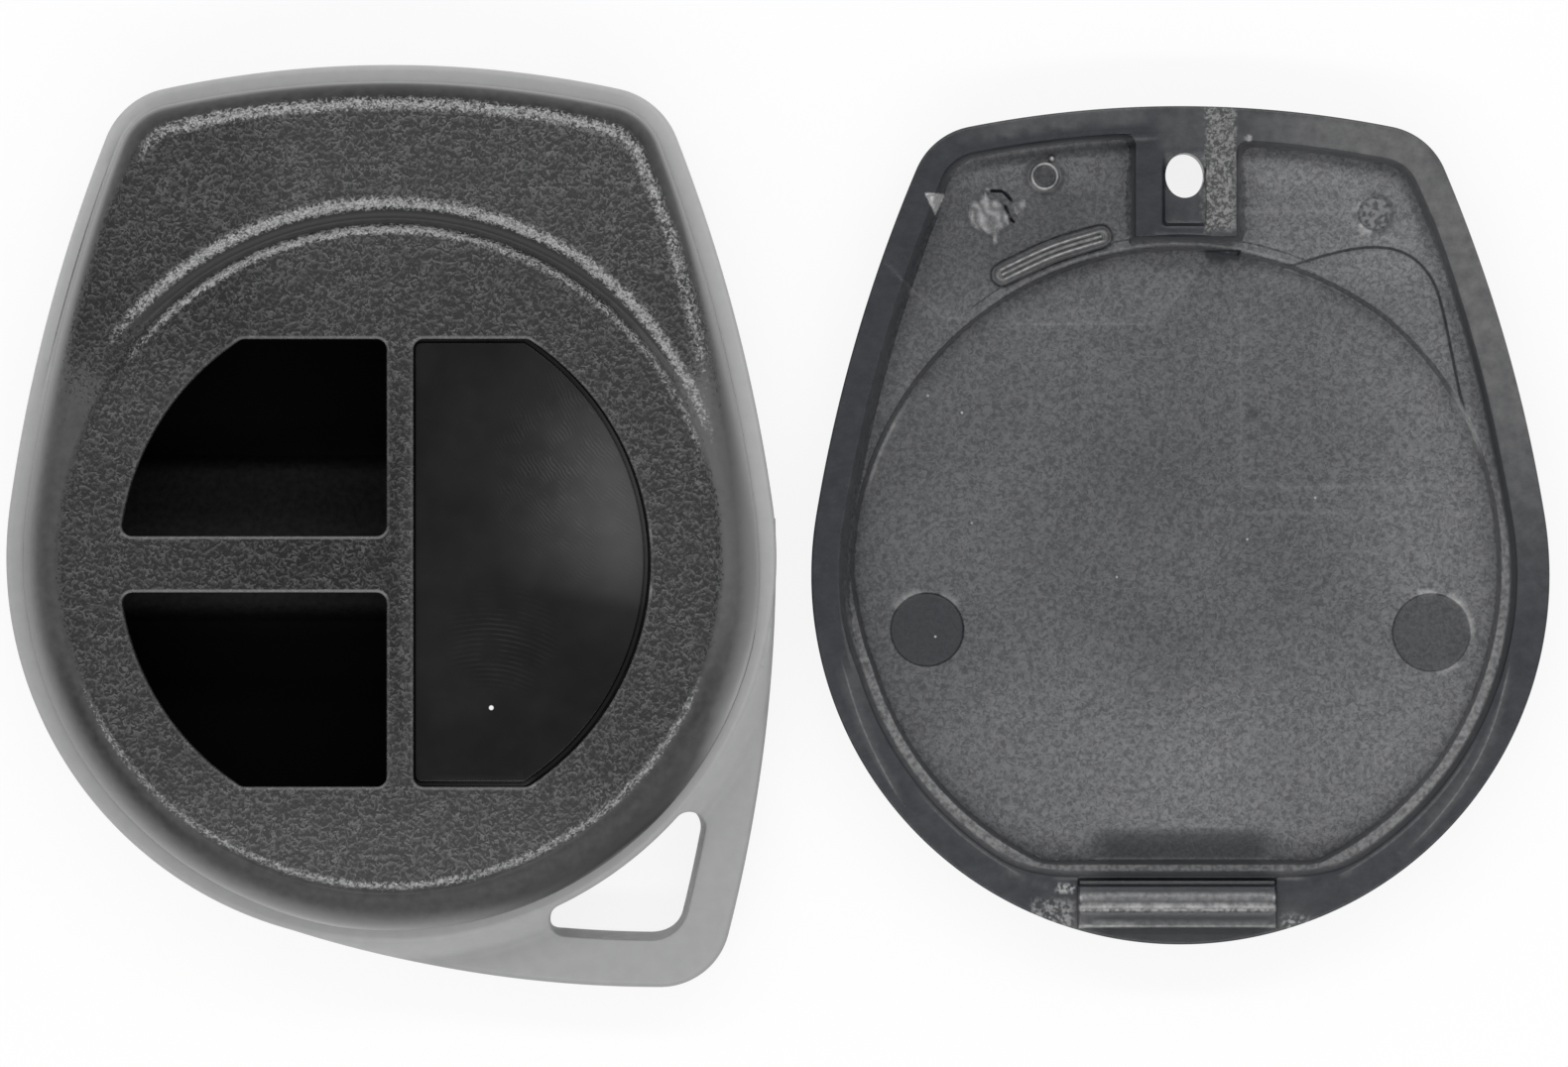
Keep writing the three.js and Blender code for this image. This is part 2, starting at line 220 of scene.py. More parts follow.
def arc(middle, radius, start, end, count, clockwise=True, whole=False):
    """Points along an arc; unless it is whole, it stops short of its end."""
    sweep = -((start - end) % (2 * math.pi)) if clockwise else (end - start) % (2 * math.pi)
    return spokes(middle, radius, start + np.linspace(0, sweep, count, endpoint=whole))


def loop_outline(inset):
    right_r = LOOP["right_r"] - LOOP_ROOT["overlap"] - inset
    lower_r = LOOP["lower_r"] - LOOP_ROOT["overlap"] - inset
    corner_r = LOOP["corner_r"] - inset
    corner = circles_cross(LOOP_RIGHT, right_r - corner_r, LOOP_LOWER, lower_r - corner_r)
    corner_start, corner_end = bearing(LOOP_RIGHT, corner), bearing(LOOP_LOWER, corner)
    return np.concatenate([
        arc(LOOP_RIGHT, right_r, LOOP_ROOT["lead"], corner_start, 90),
        arc(corner, corner_r, corner_start, corner_end, 30),
        arc(LOOP_LOWER, lower_r, corner_end, LOOP["lower_at"] - LOOP_ROOT["lead"], 90),
        arc((0, 0), BODY_R - LOOP_ROOT["depth"], LOOP["lower_at"], 0, 90, clockwise=False),
    ])


# The hole beside the band; its two outer walls lean in towards the back by the draft of the mould
HOLE = {"corner_r": 2.0, "tip_r": 0.85, "clear": 0.04, "right_lean": 0.26, "lower_lean": 0.36, "edge": 0.12}


def hole_outline(spread):
    body, body_r = (0, 0), BODY_R + HOLE["clear"] - spread
    right_r = LOOP["right_r"] - LOOP_WEB["right"] + spread
    lower_r = LOOP["lower_r"] - LOOP_WEB["lower"] + spread
    tip_r, corner_r = HOLE["tip_r"] + spread, HOLE["corner_r"] + spread
    upper_tip = circles_cross(LOOP_RIGHT, right_r - tip_r, body, body_r + tip_r)
    corner = circles_cross(LOOP_RIGHT, right_r - corner_r, LOOP_LOWER, lower_r - corner_r)
    lower_tip = circles_cross(body, body_r + tip_r, LOOP_LOWER, lower_r - tip_r)
    return np.concatenate([
        arc(upper_tip, tip_r, bearing(upper_tip, body), bearing(LOOP_RIGHT, upper_tip), 24),
        arc(LOOP_RIGHT, right_r, bearing(LOOP_RIGHT, upper_tip), bearing(LOOP_RIGHT, corner), 30),
        arc(corner, corner_r, bearing(LOOP_RIGHT, corner), bearing(LOOP_LOWER, corner), 30),
        arc(LOOP_LOWER, lower_r, bearing(LOOP_LOWER, corner), bearing(LOOP_LOWER, lower_tip), 30),
        arc(lower_tip, tip_r, bearing(LOOP_LOWER, lower_tip), bearing(lower_tip, body), 24),
        arc(body, body_r, bearing(body, lower_tip), bearing(body, upper_tip), 60, clockwise=False),
    ])


def leaned(outline):
    """The hole's outline at the back, with the walls that face left and up moved in by the draft."""
    ahead = np.roll(outline, -1, axis=0) - np.roll(outline, 1, axis=0)
    ahead /= np.hypot(ahead[:, 0], ahead[:, 1])[:, None]
    right = HOLE["right_lean"] * np.clip(-ahead[:, 1], 0, 1)
    lower = HOLE["lower_lean"] * np.clip(-ahead[:, 0], 0, 1) ** 2
    return outline + np.column_stack([-right, lower])


# The plate rises in a fillet where it meets the band
FILLET = {"height": BAND_TOP - LOOP_TOP - 0.03, "start": -0.32, "width": 1.6}


def smoothstep(t):
    t = np.clip(t, 0, 1)
    return t * t * (3 - 2 * t)


def rise(value, start, width):
    """From 0 at the start to 1 a width further on."""
    return smoothstep((value - start) / width)


def loop_rise(x, y):
    return FILLET["height"] * (1 - rise(np.hypot(x, y) - BODY_R, FILLET["start"], FILLET["width"]))


def on_loop_top(line, height):
    return lift(line, height + loop_rise(line[:, 0], line[:, 1]))


loop_section = bend(LOOP_EDGE, LOOP_TOP - LOOP_EDGE, LOOP_EDGE, 180, 90)
hole_section = bend(HOLE["edge"], LOOP_TOP - HOLE["edge"], HOLE["edge"], 180, 90, 4)
plate_outer = loop_outline(LOOP_EDGE)
hole_upper, hole_low = hole_outline(hole_section[-1][0]), leaned(hole_outline(0))
plate_edge = [lift(plate_outer, LOOP_BOTTOM), lift(loop_outline(0), LOOP_BOTTOM + LOOP_EDGE)]
plate_edge.extend(on_loop_top(loop_outline(inset), height) for inset, height in loop_section)
hole_edge = [lift(hole_low, LOOP_BOTTOM)]
hole_edge.extend(on_loop_top(hole_outline(spread), height) for spread, height in hole_section)
MERGE = 1e-5


def in_polygon(outline, x, y):
    inside = np.zeros(np.shape(x), bool)
    for (ax, ay), (bx, by) in zip(outline, np.roll(outline, -1, axis=0)):
        if ay != by:
            crosses = (ay > y) != (by > y)
            inside ^= crosses & (x < ax + (y - ay) * (bx - ax) / (by - ay))
    return inside


def clear_of(holes, on_area):
    """The test for points of an area that are outside all its holes."""
    return lambda x, y: on_area(x, y) & ~np.any([in_polygon(hole, x, y) for hole in holes], axis=0)


def relief(lines, keep, height, step=None):
    """A surface over the plan region that keep accepts, with edges along the lines.

    Each line is (points, closed). A lattice of the given step fills the rest, clear of the lines. The height is a
    number or a function of the plan."""
    points = np.concatenate([line for line, _ in lines])
    edges = []
    first = 0
    for line, closed in lines:
        count = len(line)
        edges.extend((first + place, first + (place + 1) % count) for place in range(count if closed else count - 1))
        first += count
    if step:
        low = points.min(axis=0)
        span = points.max(axis=0) - low
        row_part, clear_part = 0.866, 0.55
        row, column = np.mgrid[0:int(span[1] / (step * row_part)) + 1, 0:int(span[0] / step) + 1]
        lattice = np.stack([(column + 0.5 * (row % 2)) * step, row * step * row_part], axis=-1).reshape(-1, 2) + low
        cell = clear_part * step
        taken = np.zeros((np.ceil(span / cell).astype(int) + 5), bool)
        at = ((points - low) / cell).astype(int) + 1
        for dx in (-1, 0, 1):
            for dy in (-1, 0, 1):
                taken[at[:, 0] + dx, at[:, 1] + dy] = True
        spot = ((lattice - low) / cell).astype(int) + 1
        free = ~taken[spot[:, 0], spot[:, 1]] & keep(lattice[:, 0], lattice[:, 1])
        points = np.concatenate([points, lattice[free]])
    plan, _, faces, *_ = delaunay_2d_cdt([Vector(point) for point in points], edges, [], 0, MERGE, False)
    flat = np.array([(point.x, point.y) for point in plan])
    faces = np.array(faces)
    centre = flat[faces].mean(axis=1)
    used, faces = np.unique(faces[keep(centre[:, 0], centre[:, 1])], return_inverse=True)
    flat = flat[used]
    return lift(flat, height(flat[:, 0], flat[:, 1]) if callable(height) else height), faces.reshape(-1, 3).tolist()


def combine(piece, tool, operation):
    """Joins the tool to the piece or cuts it out, and removes the tool."""
    step = piece.modifiers.new(operation, "BOOLEAN")
    step.operation = operation
    step.solver = "MANIFOLD"
    step.object = tool
    evaluated = piece.evaluated_get(bpy.context.evaluated_depsgraph_get())
    mesh = bpy.data.meshes.new_from_object(evaluated)
    piece.modifiers.clear()
    piece.data = mesh
    bpy.data.objects.remove(tool)


plate_skins = [loft(plate_edge), loft(hole_edge)]
plate_faces = [(hole_upper, lambda x, y: LOOP_TOP + loop_rise(x, y), LOOP_LATTICE), (hole_low, LOOP_BOTTOM, None)]
for hole, height, step in plate_faces:
    on_plate = clear_of([hole], lambda x, y: in_polygon(plate_outer, x, y))
    plate_skins.append(relief([(plate_outer, True), (hole, True)], on_plate, height, step))
combine(outer_frame, solid("loop_plate", plate_skins, FRONT_MIDDLE), "UNION")


def block(low, high):
    """A box of six faces between two corners, for cutting."""
    ring = np.array([(low[0], low[1]), (high[0], low[1]), (high[0], high[1]), (low[0], high[1])])
    verts, faces = loft([lift(ring, low[2]), lift(ring, high[2])])
    return verts, [*faces, [0, 1, 2, 3], [4, 5, 6, 7]]


# The recess inside the band that the rear cover's tongue hooks into
HOOK_RECESS = ((-6, -19.3, -1), (6, -17, 1.9))
combine(outer_frame, solid("hook_recess", [block(*HOOK_RECESS)], FRONT_MIDDLE), "DIFFERENCE")


def smooth(piece, finish, crease=35):
    """Shades the piece smooth except at edges sharper than the crease angle, and gives it its finish."""
    piece.data.shade_smooth()
    piece.data.set_sharp_from_angle(angle=math.radians(crease))
    piece.data.materials.clear()
    piece.data.materials.append(finish)


def new_finish(name):
    finish = bpy.data.materials.new(name)
    finish.use_nodes = True
    tree = finish.node_tree
    return finish, tree, tree.nodes["Principled BSDF"]


def feed(tree, node, inputs):
    """Sets a node's inputs; each is a value or another node's output."""
    for name, value in inputs.items():
        if isinstance(value, bpy.types.NodeSocket):
            tree.links.new(value, node.inputs[name])
        else:
            node.inputs[name].default_value = value


def put(tree, kind, inputs, **settings):
    made = tree.nodes.new(kind)
    for name, value in settings.items():
        setattr(made, name, value)
    feed(tree, made, inputs)
    return made


def place_of(tree):
    return put(tree, "ShaderNodeTexCoord", {}).outputs["Object"]


def grain_of(tree, size, **inputs):
    """Noise whose lumps are about size millimetres across."""
    settings = {"Vector": place_of(tree), "Scale": 1 / (size * MM), "Detail": 2.0, **inputs}
    return put(tree, "ShaderNodeTexNoise", settings).outputs["Fac"]


def spread_of(tree, value, low, high, to_low=0, to_high=1):
    """Maps a value from one range to another, held at the ends."""
    inputs = {"Value": value, "From Min": low, "From Max": high, "To Min": to_low, "To Max": to_high}
    return put(tree, "ShaderNodeMapRange", inputs).outputs["Result"]


def blend(tree, share, under, over):
    """One colour over another by a share; each colour is three numbers or another node's output."""
    colours = {name: (*colour, 1) if isinstance(colour, tuple) else colour for name, colour in zip("AB", (under, over))}
    return put(tree, "ShaderNodeMix", {"Factor": share, **colours}, data_type="RGBA").outputs["Result"]


def bump_of(tree, height, depth, **inputs):
    """A bump of the given depth in millimetres."""
    return put(tree, "ShaderNodeBump", {"Height": height, "Distance": depth * MM, **inputs}).outputs["Normal"]


def paint(piece, name, values):
    """Keeps a number from 0 to 1 on each point of the piece, for its finish to read."""
    layer = piece.data.attributes.new(name, "FLOAT", "POINT")
    layer.data.foreach_set("value", np.asarray(values, np.float32))


def painted(tree, name):
    return put(tree, "ShaderNodeAttribute", {}, attribute_name=name).outputs["Fac"]


def plan_of(piece, middle):
    """The points of a piece in millimetres from the middle of its half."""
    places = np.empty(len(piece.data.vertices) * 3, np.float32)
    piece.data.vertices.foreach_get("co", places)
    places = places.reshape(-1, 3).astype(float) / MM
    return places[:, 0] - middle[0], places[:, 1] - middle[1], places[:, 2]


# Painted light: the band's top and the loop's fillet are painted lighter, against the black cover's shade
BAND_LIGHT_SHARE = {-180: 0.25, -112: 0.35, -92: 0.5, -40: 0.5, -15: 0.55, 40: 0.85, 90: 1, 140: 0.8, 180: 0.25}
x, y, z = plan_of(outer_frame, FRONT_MIDDLE)
paint(outer_frame, "band_light", by_turn(np.arctan2(y, x), BAND_LIGHT_SHARE) * rise(z, LOOP_TOP, 0.4))

grey_plastic, tree, surface = new_finish("satin_grey_plastic")
mottle = spread_of(tree, grain_of(tree, 0.7, Detail=3.0), 0.35, 0.65)
plain_grey = blend(tree, mottle, (0.3, 0.301, 0.302), (0.316, 0.317, 0.318))
lit_grey = blend(tree, mottle, (0.44, 0.441, 0.442), (0.46, 0.461, 0.462))
feed(tree, surface, {
    "Base Color": blend(tree, painted(tree, "band_light"), plain_grey, lit_grey),
    "Roughness": spread_of(tree, grain_of(tree, 0.5), 0.3, 0.7, 0.46, 0.58),
    "Normal": bump_of(tree, grain_of(tree, 0.12), 0.003),
})
smooth(outer_frame, grey_plastic)
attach(outer_frame, "front_half")
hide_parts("outer_frame")


# Front cover
# The black cover pressed into the grey band. It is one thin injection moulding with a spark-eroded grain on its
# face, a polished rounded shoulder, a curved groove over the round plateau, three windows, and inside it a wall
# round the tray and the post for the screw.

_, cover_high = box_mm("front_cover")
COVER = {"gap": -0.01, "foot": 4.3, "top": 9.6, "wall": 1.4, "underside": 8.2}
PLATEAU = {"top": cover_high[2], "r": 17.1, "edge": 0.5, "flat_r": 14.8}
GROOVE = {"inner": 17.1, "middle": 17.85, "outer": 19.0, "depth": 0.42}
GROOVE_ENDS = np.radians([24, 40, 130, 147])

# Width and height of the rounded shoulder, by the angle round the body
SHOULDER_WIDTH = {
    -180: 1.9, -135: 1.95, -90: 2.15, -45: 2.3, -10: 2.1, 10: 1.9, 35: 1.55, 50: 1.4, 61: 1.75, 70: 1.55, 110: 1.55,
    119: 1.75, 130: 1.4, 145: 1.45, 165: 1.7, 180: 1.9,
}
SHOULDER_HEIGHT = {
    -180: 4.0, -135: 3.2, -90: 2.6, -45: 2.2, -10: 3.2, 10: 3.9, 35: 3.4, 50: 2.7, 61: 2.5, 70: 2.4, 90: 2.3,
    110: 2.4, 119: 2.5, 130: 2.7, 145: 3.2, 165: 3.8, 180: 4.0,
}
shoulder_width = by_turn(signed_turns, SHOULDER_WIDTH)
shoulder_height = by_turn(signed_turns, SHOULDER_HEIGHT)
cover_inset = lip_width + COVER["gap"]


def fall(value, end, width):
    """From 1 a width before the end to 0 at the end."""
    return smoothstep((end - value) / width)


def groove_fade(x, y):
    """How much of the groove is left, by the angle round the body: it runs out at both ends."""
    turn = np.arctan2(y, x)
    right_end, right_full, left_full, left_end = GROOVE_ENDS
    return rise(turn, right_end, right_full - right_end) * fall(turn, left_end, left_end - left_full)


def cover_height(x, y):
    """The face of the cover without its shoulder: head, groove and plateau."""
    r = np.hypot(x, y)
    step_up = PLATEAU["top"] - COVER["top"]
    plain = COVER["top"] + step_up * (1 - rise(r, PLATEAU["r"], PLATEAU["edge"]))
    down_out = np.clip((GROOVE["outer"] - r) / (GROOVE["outer"] - GROOVE["middle"]), 0, 1)
    down_in = np.clip((r - GROOVE["inner"]) / (GROOVE["middle"] - GROOVE["inner"]), 0, 1)
    outside = COVER["top"] - GROOVE["depth"] * np.sin(down_out * math.pi / 2) ** 2
    inside = PLATEAU["top"] - (GROOVE["depth"] + step_up) * np.sin(down_in * math.pi / 2) ** 2
    grooved = np.where(r > GROOVE["middle"], outside, inside)
    return plain + (grooved - plain) * groove_fade(x, y)


# Rows of the face from the plateau's flat middle out to the shoulder, then over the shoulder to its foot
FACE_ROWS, SHOULDER_ROWS = 88, 30
shoulder_top = ring_at(front_inset, cover_inset + shoulder_width)
flat_edge = circle_of(PLATEAU["flat_r"], RING_POINTS)
cover_rings = []
for part in np.linspace(0, 1, FACE_ROWS, endpoint=False):
    line = flat_edge + (shoulder_top - flat_edge) * part
    cover_rings.append(lift(line, cover_height(line[:, 0], line[:, 1])))
for turn in np.linspace(0, math.pi / 2, SHOULDER_ROWS):
    line = ring_at(front_inset, cover_inset + shoulder_width * (1 - math.sin(turn)))
    cover_rings.append(lift(line, cover_height(line[:, 0], line[:, 1]) - shoulder_height * (1 - math.cos(turn))))
cover_inside = ring_at(front_inset, cover_inset + COVER["wall"])
cover_rings += [
    lift(ring_at(front_inset, cover_inset), COVER["foot"]),
    lift(cover_inside, COVER["foot"]),
    lift(cover_inside, COVER["underside"]),
    lift(flat_edge, COVER["underside"]),
]

# The windows: parts of one round opening with two flats, between an upright bar and a crossbar
WINDOW = {"middle": np.array([-0.25, -0.25]), "r": 13.95, "half_height": 11.75, "corner_r": 0.55, "lip": 0.11}
UPRIGHT_LEFT, UPRIGHT_RIGHT = 0.1, 1.5
CROSSBAR_LOW, CROSSBAR_HIGH = -1.55, 1.4


def bow_corner(height, side):
    """Where the round opening meets a level line, both drawn in by the corner radius."""
    return side * math.sqrt((WINDOW["r"] - WINDOW["corner_r"]) ** 2 - height ** 2), height


def window_outline(corners, spread):
    """A window's outline moved outwards by spread. Each corner is (place, whether the next side is bowed)."""
    points = []
    for place, (corner, bowed) in enumerate(corners):
        before, was_bowed = corners[place - 1]
        after, _ = corners[(place + 1) % len(corners)]
        outwards = bearing((0, 0), corner)
        arrive = outwards if was_bowed else bearing(before, corner) - math.pi / 2
        leave = outwards if bowed else bearing(corner, after) - math.pi / 2
        points.append(arc(corner, WINDOW["corner_r"] + spread, arrive, leave, 8, clockwise=False, whole=True))
        if bowed:
            end = bearing((0, 0), after)
            points.append(arc((0, 0), WINDOW["r"] + spread, leave, end, 48, clockwise=False, whole=True)[1:-1])
    return np.concatenate(points) + WINDOW["middle"]


tuck = WINDOW["corner_r"]
flat_at = WINDOW["half_height"] - tuck
WINDOWS = {
    "upper": [
        ((UPRIGHT_LEFT - tuck, CROSSBAR_HIGH + tuck), False),
        ((UPRIGHT_LEFT - tuck, flat_at), False),
        (bow_corner(flat_at, -1), True),
        (bow_corner(CROSSBAR_HIGH + tuck, -1), False),
    ],
    "lower": [
        ((UPRIGHT_LEFT - tuck, -flat_at), False),
        ((UPRIGHT_LEFT - tuck, CROSSBAR_LOW - tuck), False),
        (bow_corner(CROSSBAR_LOW - tuck, -1), True),
        (bow_corner(-flat_at, -1), False),
    ],
    "badge": [
        (bow_corner(-flat_at, 1), True),
        (bow_corner(flat_at, 1), False),
        ((UPRIGHT_RIGHT + tuck, flat_at), False),
        ((UPRIGHT_RIGHT + tuck, -flat_at), False),
    ],
}


def window_outlines(spread):
    return [window_outline(corners, spread) for corners in WINDOWS.values()]


lip = WINDOW["lip"]
lip_section = [*bend(lip, PLATEAU["top"] - lip, lip, 90, 180, 6), (0, COVER["underside"])]
lip_rings = [[lift(line, height) for line in window_outlines(spread)] for spread, height in lip_section]
cover_skins = [loft(cover_rings), *[loft(rings) for rings in zip(*lip_rings)]]
for spread, guides, height in ((lip, window_outlines(lip + 0.08), PLATEAU["top"]), (0, [], COVER["underside"])):
    outlines = window_outlines(spread)
    between_windows = clear_of(outlines, lambda x, y: np.hypot(x, y) < PLATEAU["flat_r"])
    face_lines = [(line, True) for line in (flat_edge, *outlines, *guides)]
    cover_skins.append(relief(face_lines, between_windows, height))
front_cover = solid("black_front_cover", cover_skins, FRONT_MIDDLE)


def turned(section, middle, count):
    """The skin of a turned piece; the section is (radius, height) pairs that start and end on the axis or close."""
    rings = [lift(circle_of(radius, count, middle), height) for radius, height in section]
    return loft(rings, closed=section[0][0] > 0)


# Inside the cover: the wall round the tray, and the post that takes the screw
TRAY_WALL = {"inner": 16.9, "outer": 18.45, "bottom": 4.3}
POST = {"place": (0.25, 21.1), "r": 2.2, "bore": 1.05, "bottom": 1.6, "bore_top": 7.9, "lead": 0.25, "edge": 0.15}
POST_DRAFT = 0.12
INTO_SKIN = COVER["underside"] + 0.3
tray_wall_section = [
    (TRAY_WALL["inner"], TRAY_WALL["bottom"]),
    (TRAY_WALL["outer"], TRAY_WALL["bottom"]),
    (TRAY_WALL["outer"], INTO_SKIN),
    (TRAY_WALL["inner"], INTO_SKIN),
]
post_section = [
    (0, POST["bore_top"]),
    (POST["bore"], POST["bore_top"]),
    (POST["bore"], POST["bottom"] + POST["lead"]),
    (POST["bore"] + POST["lead"], POST["bottom"]),
    (POST["r"] - POST["edge"], POST["bottom"]),
    (POST["r"], POST["bottom"] + POST["edge"]),
    (POST["r"] + POST_DRAFT, INTO_SKIN),
    (0, INTO_SKIN),
]
for name, skin in (
    ("tray_wall", turned(tray_wall_section, (0, 0), 240)),
    ("screw_post", turned(post_section, POST["place"], 96)),
):
    combine(front_cover, solid(name, [skin], FRONT_MIDDLE), "UNION")

# Where the face is grained, and painted shade where it is smooth: in the groove and on the foot by the loop
x, y, z = plan_of(front_cover, FRONT_MIDDLE)
turn, r = np.arctan2(y, x), np.hypot(x, y)
inset = front_inset(x, y) - by_turn(turn, LIP_WIDTH) - COVER["gap"]
over = inset / by_turn(turn, SHOULDER_WIDTH)
fade = groove_fade(x, y)
in_groove = rise(r, 17.35, 0.15) * fall(r, 18.5, 0.25) * fade
groove_wall = bell(r, 17.66, 0.15) * fade
at_head = rise(turn, math.radians(20), 0.35) * fall(turn, math.radians(160), 0.35)
at_loop = rise(turn, -1.4, 0.25) * fall(turn, -0.5, 0.2)
smooth_share = by_turn(turn, {20: 0.1, 45: 0.2, 58: 0.5, 118: 0.5, 128: 0.2, 160: 0.1})
grain_edge = fall(r, 17.75, 0.8) * (1 - at_head) + rise(over, smooth_share, 0.5) * at_head
paint(front_cover, "grained", grain_edge * (1 - in_groove))
paint(front_cover, "sunk", np.maximum(in_groove * (1 - groove_wall), at_loop * (1 - rise(inset, 0.1, 1.1))))

# Painted highlights on its raised edges: round the head, on the groove's lips, below the plateau and at the windows
HEAD_RIM_SHARE = {
    24: 0, 34: 0.4, 41: 0.5, 52: 0.6, 70: 0.88, 90: 0.88, 110: 0.9, 116: 0.78, 121: 0.32, 125: 0,
}
PLATEAU_RIM_R = {
    -180: 17.45, -150: 17.42, -130: 17.38, -115: 17.2, -80: 17.2, -65: 17.25, -45: 17.38, -25: 17.42,
}
INNER_LIP_SHARE = {12: 0, 20: 0.35, 33: 0.55, 62: 0.7, 80: 1, 120: 1, 132: 0.88, 146: 0}
head_rim = bell(over, 0.78, by_turn(turn, {36: 0.34, 60: 0.2})) * by_turn(turn, HEAD_RIM_SHARE)
inner_lip = bell(r, 17.27, 0.22) * by_turn(turn, INNER_LIP_SHARE)
outer_lip_r = by_turn(turn, {24: 18.0, 42: 18.3, 58: 18.58, 120: 18.58, 147: 18.5})
outer_lip_share = np.maximum(fade, by_turn(turn, {18: 0, 24: 0.4, 30: 0.75, 36: 0.85, 40: 0}))
outer_lip = 1.08 * bell(r, outer_lip_r, np.where(r > outer_lip_r, 0.36, 0.22)) * outer_lip_share
plateau_rim_r = by_turn(turn, PLATEAU_RIM_R)
plateau_rim = 0.68 * bell(r, plateau_rim_r, 0.2) * fall(y, -4.5, 5) * (1 - 0.3 * fall(x, -4, 8))
paint(front_cover, "edge_highlight", np.clip(inner_lip + outer_lip + plateau_rim + head_rim, 0, 1) * (z > 8.5))
level_edges = {WINDOW["half_height"]: 0.6, -WINDOW["half_height"]: 0.5, CROSSBAR_HIGH: 0.8, CROSSBAR_LOW: 1}
level_lights = [share * bell(y, WINDOW["middle"][1] + edge, 0.3) for edge, share in level_edges.items()]
level_light = np.max(level_lights, axis=0) * (0.7 + 0.3 * rise(x, -10, 8))
on_lip = np.any([in_polygon(line, x, y) for line in window_outlines(lip + 0.02)], axis=0)
paint(front_cover, "window_lip_highlight", on_lip * (z > PLATEAU["top"] - 0.08) * (0.06 + 0.34 * level_light))

# Painted light and shade on its shoulder and its face, and a painted shine on its foot at the lip
SHOULDER_LIGHT = {
    -180: 0.47, -135: 0.5, -90: 0.47, -45: 0.4, -20: 0.6, 0: 1, 38: 0.95, 46: 0.5, 54: 0.22, 90: 0.04, 128: 0.34,
    150: 0.6, 180: 0.47,
}
SHINE_WIDTH = {
    -180: 0.95, -140: 1.08, -115: 1.1, -100: 1.15, -80: 1.0, -68: 0.6, -45: 0.3, -35: 0.4, -25: 1.1, 5: 1.1, 35: 0.7,
    52: 0.3, 90: 0.18, 128: 0.38, 150: 0.7, 180: 0.95,
}
SHINE_SHARE = {
    -180: 0.43, -140: 0.46, -115: 0.5, -100: 0.55, -80: 0.4, -68: 0.16, -45: 0, -35: 0.16, -25: 0.7, -15: 0.95,
    5: 0.95, 35: 0.8, 90: 0.8, 128: 0.68, 150: 0.5, 180: 0.43,
}
SEAM_SHARE = {-100: 1, -85: 0, -35: 0, -22: 1, 15: 1, 28: 0, 135: 0, 150: 1}
low_shade = 0.7 * bell(r, plateau_rim_r + 0.6, 0.36) * fall(y, -3, 5)
paint(front_cover, "tone", np.maximum(by_turn(turn, SHOULDER_LIGHT) * (1 - low_shade), 0.42 * groove_wall))
face_light = (
    0.45 + 0.5 * fall(y, -10, 5) + 0.25 * rise(y, 13, 6)
    - 0.62 * np.exp(-((r / 9) ** 4))
    - 0.32 * fall(x, -4, 5) * rise(y, 8, 5)
    - 0.15 * fall(x, -10, 4) * fall(np.abs(y), 8, 5)
)
paint(front_cover, "face_light", face_light)
shine = np.clip(1 - inset / by_turn(turn, SHINE_WIDTH), 0, 1) ** 1.3
seam = 0.5 * by_turn(turn, SEAM_SHARE) * bell(inset, 0, 0.12)
shine = np.clip(by_turn(turn, SHINE_SHARE) * (shine + seam), 0, 1)
paint(front_cover, "shining_foot", shine * (z > BAND_TOP - 0.6) * (inset > -0.01))


def math_of(tree, operation, *values):
    return put(tree, "ShaderNodeMath", dict(enumerate(values)), operation=operation).outputs["Value"]


def times(tree, first, second):
    return math_of(tree, "MULTIPLY", first, second)


def vector_of(tree, operation, first, second):
    return put(tree, "ShaderNodeVectorMath", {0: first, 1: second}, operation=operation).outputs


black_grain, tree, surface = new_finish("black_grained_plastic")
GRAIN = {"size": 0.31, "Detail": 2.2, "Distortion": 0.5}
GRAIN_LIGHT_STEP = (0, 0.07 * MM, 0)
jags = spread_of(tree, grain_of(tree, 0.2, Distortion=1.0), 0.3, 0.7, -0.5, 0.5)
grained = spread_of(tree, math_of(tree, "ADD", painted(tree, "grained"), times(tree, jags, 0.8)), 0.35, 0.65)
lumps = grain_of(tree, **GRAIN)
off_ridge = math_of(tree, "ABSOLUTE", math_of(tree, "SUBTRACT", lumps, 0.5))
patches = spread_of(tree, grain_of(tree, 0.9, Detail=3.0), 0.3, 0.7, 0.2, 1)
worms = times(tree, spread_of(tree, off_ridge, 0.0, 0.08, 1, 0), patches)
# Painted shading of the grain: each lump is lighter on the side that faces the head, as if lit from there
lumps_above = grain_of(tree, **GRAIN, Vector=vector_of(tree, "ADD", place_of(tree), GRAIN_LIGHT_STEP)["Vector"])
lump_shading = spread_of(tree, math_of(tree, "SUBTRACT", lumps, lumps_above), -0.1, 0.1, -0.42, 0.38)
lit_worms = math_of(tree, "ADD", worms, lump_shading)
# Shaded and lit copies of the grained face, blended by its painted light
shaded_face = blend(tree, lit_worms, (0.011, 0.011, 0.0113), (0.068, 0.068, 0.069))
lit_face = blend(tree, lit_worms, (0.043, 0.043, 0.0436), (0.14, 0.14, 0.141))
face_colour = blend(tree, painted(tree, "face_light"), shaded_face, lit_face)
# The smooth shoulder in its painted light and shade, and the painted shade in the groove and by the loop
uneven = spread_of(tree, grain_of(tree, 0.5, Detail=3.0), 0.3, 0.7, -0.12, 0.12)
tone = math_of(tree, "ADD", painted(tree, "tone"), uneven)
shoulder_colour = blend(tree, tone, (0.012, 0.012, 0.0123), (0.095, 0.095, 0.096))
smooth_colour = blend(tree, painted(tree, "sunk"), shoulder_colour, (0.014, 0.014, 0.0143))
colour = blend(tree, grained, smooth_colour, face_colour)
fine = grain_of(tree, 0.11, Detail=1.0)
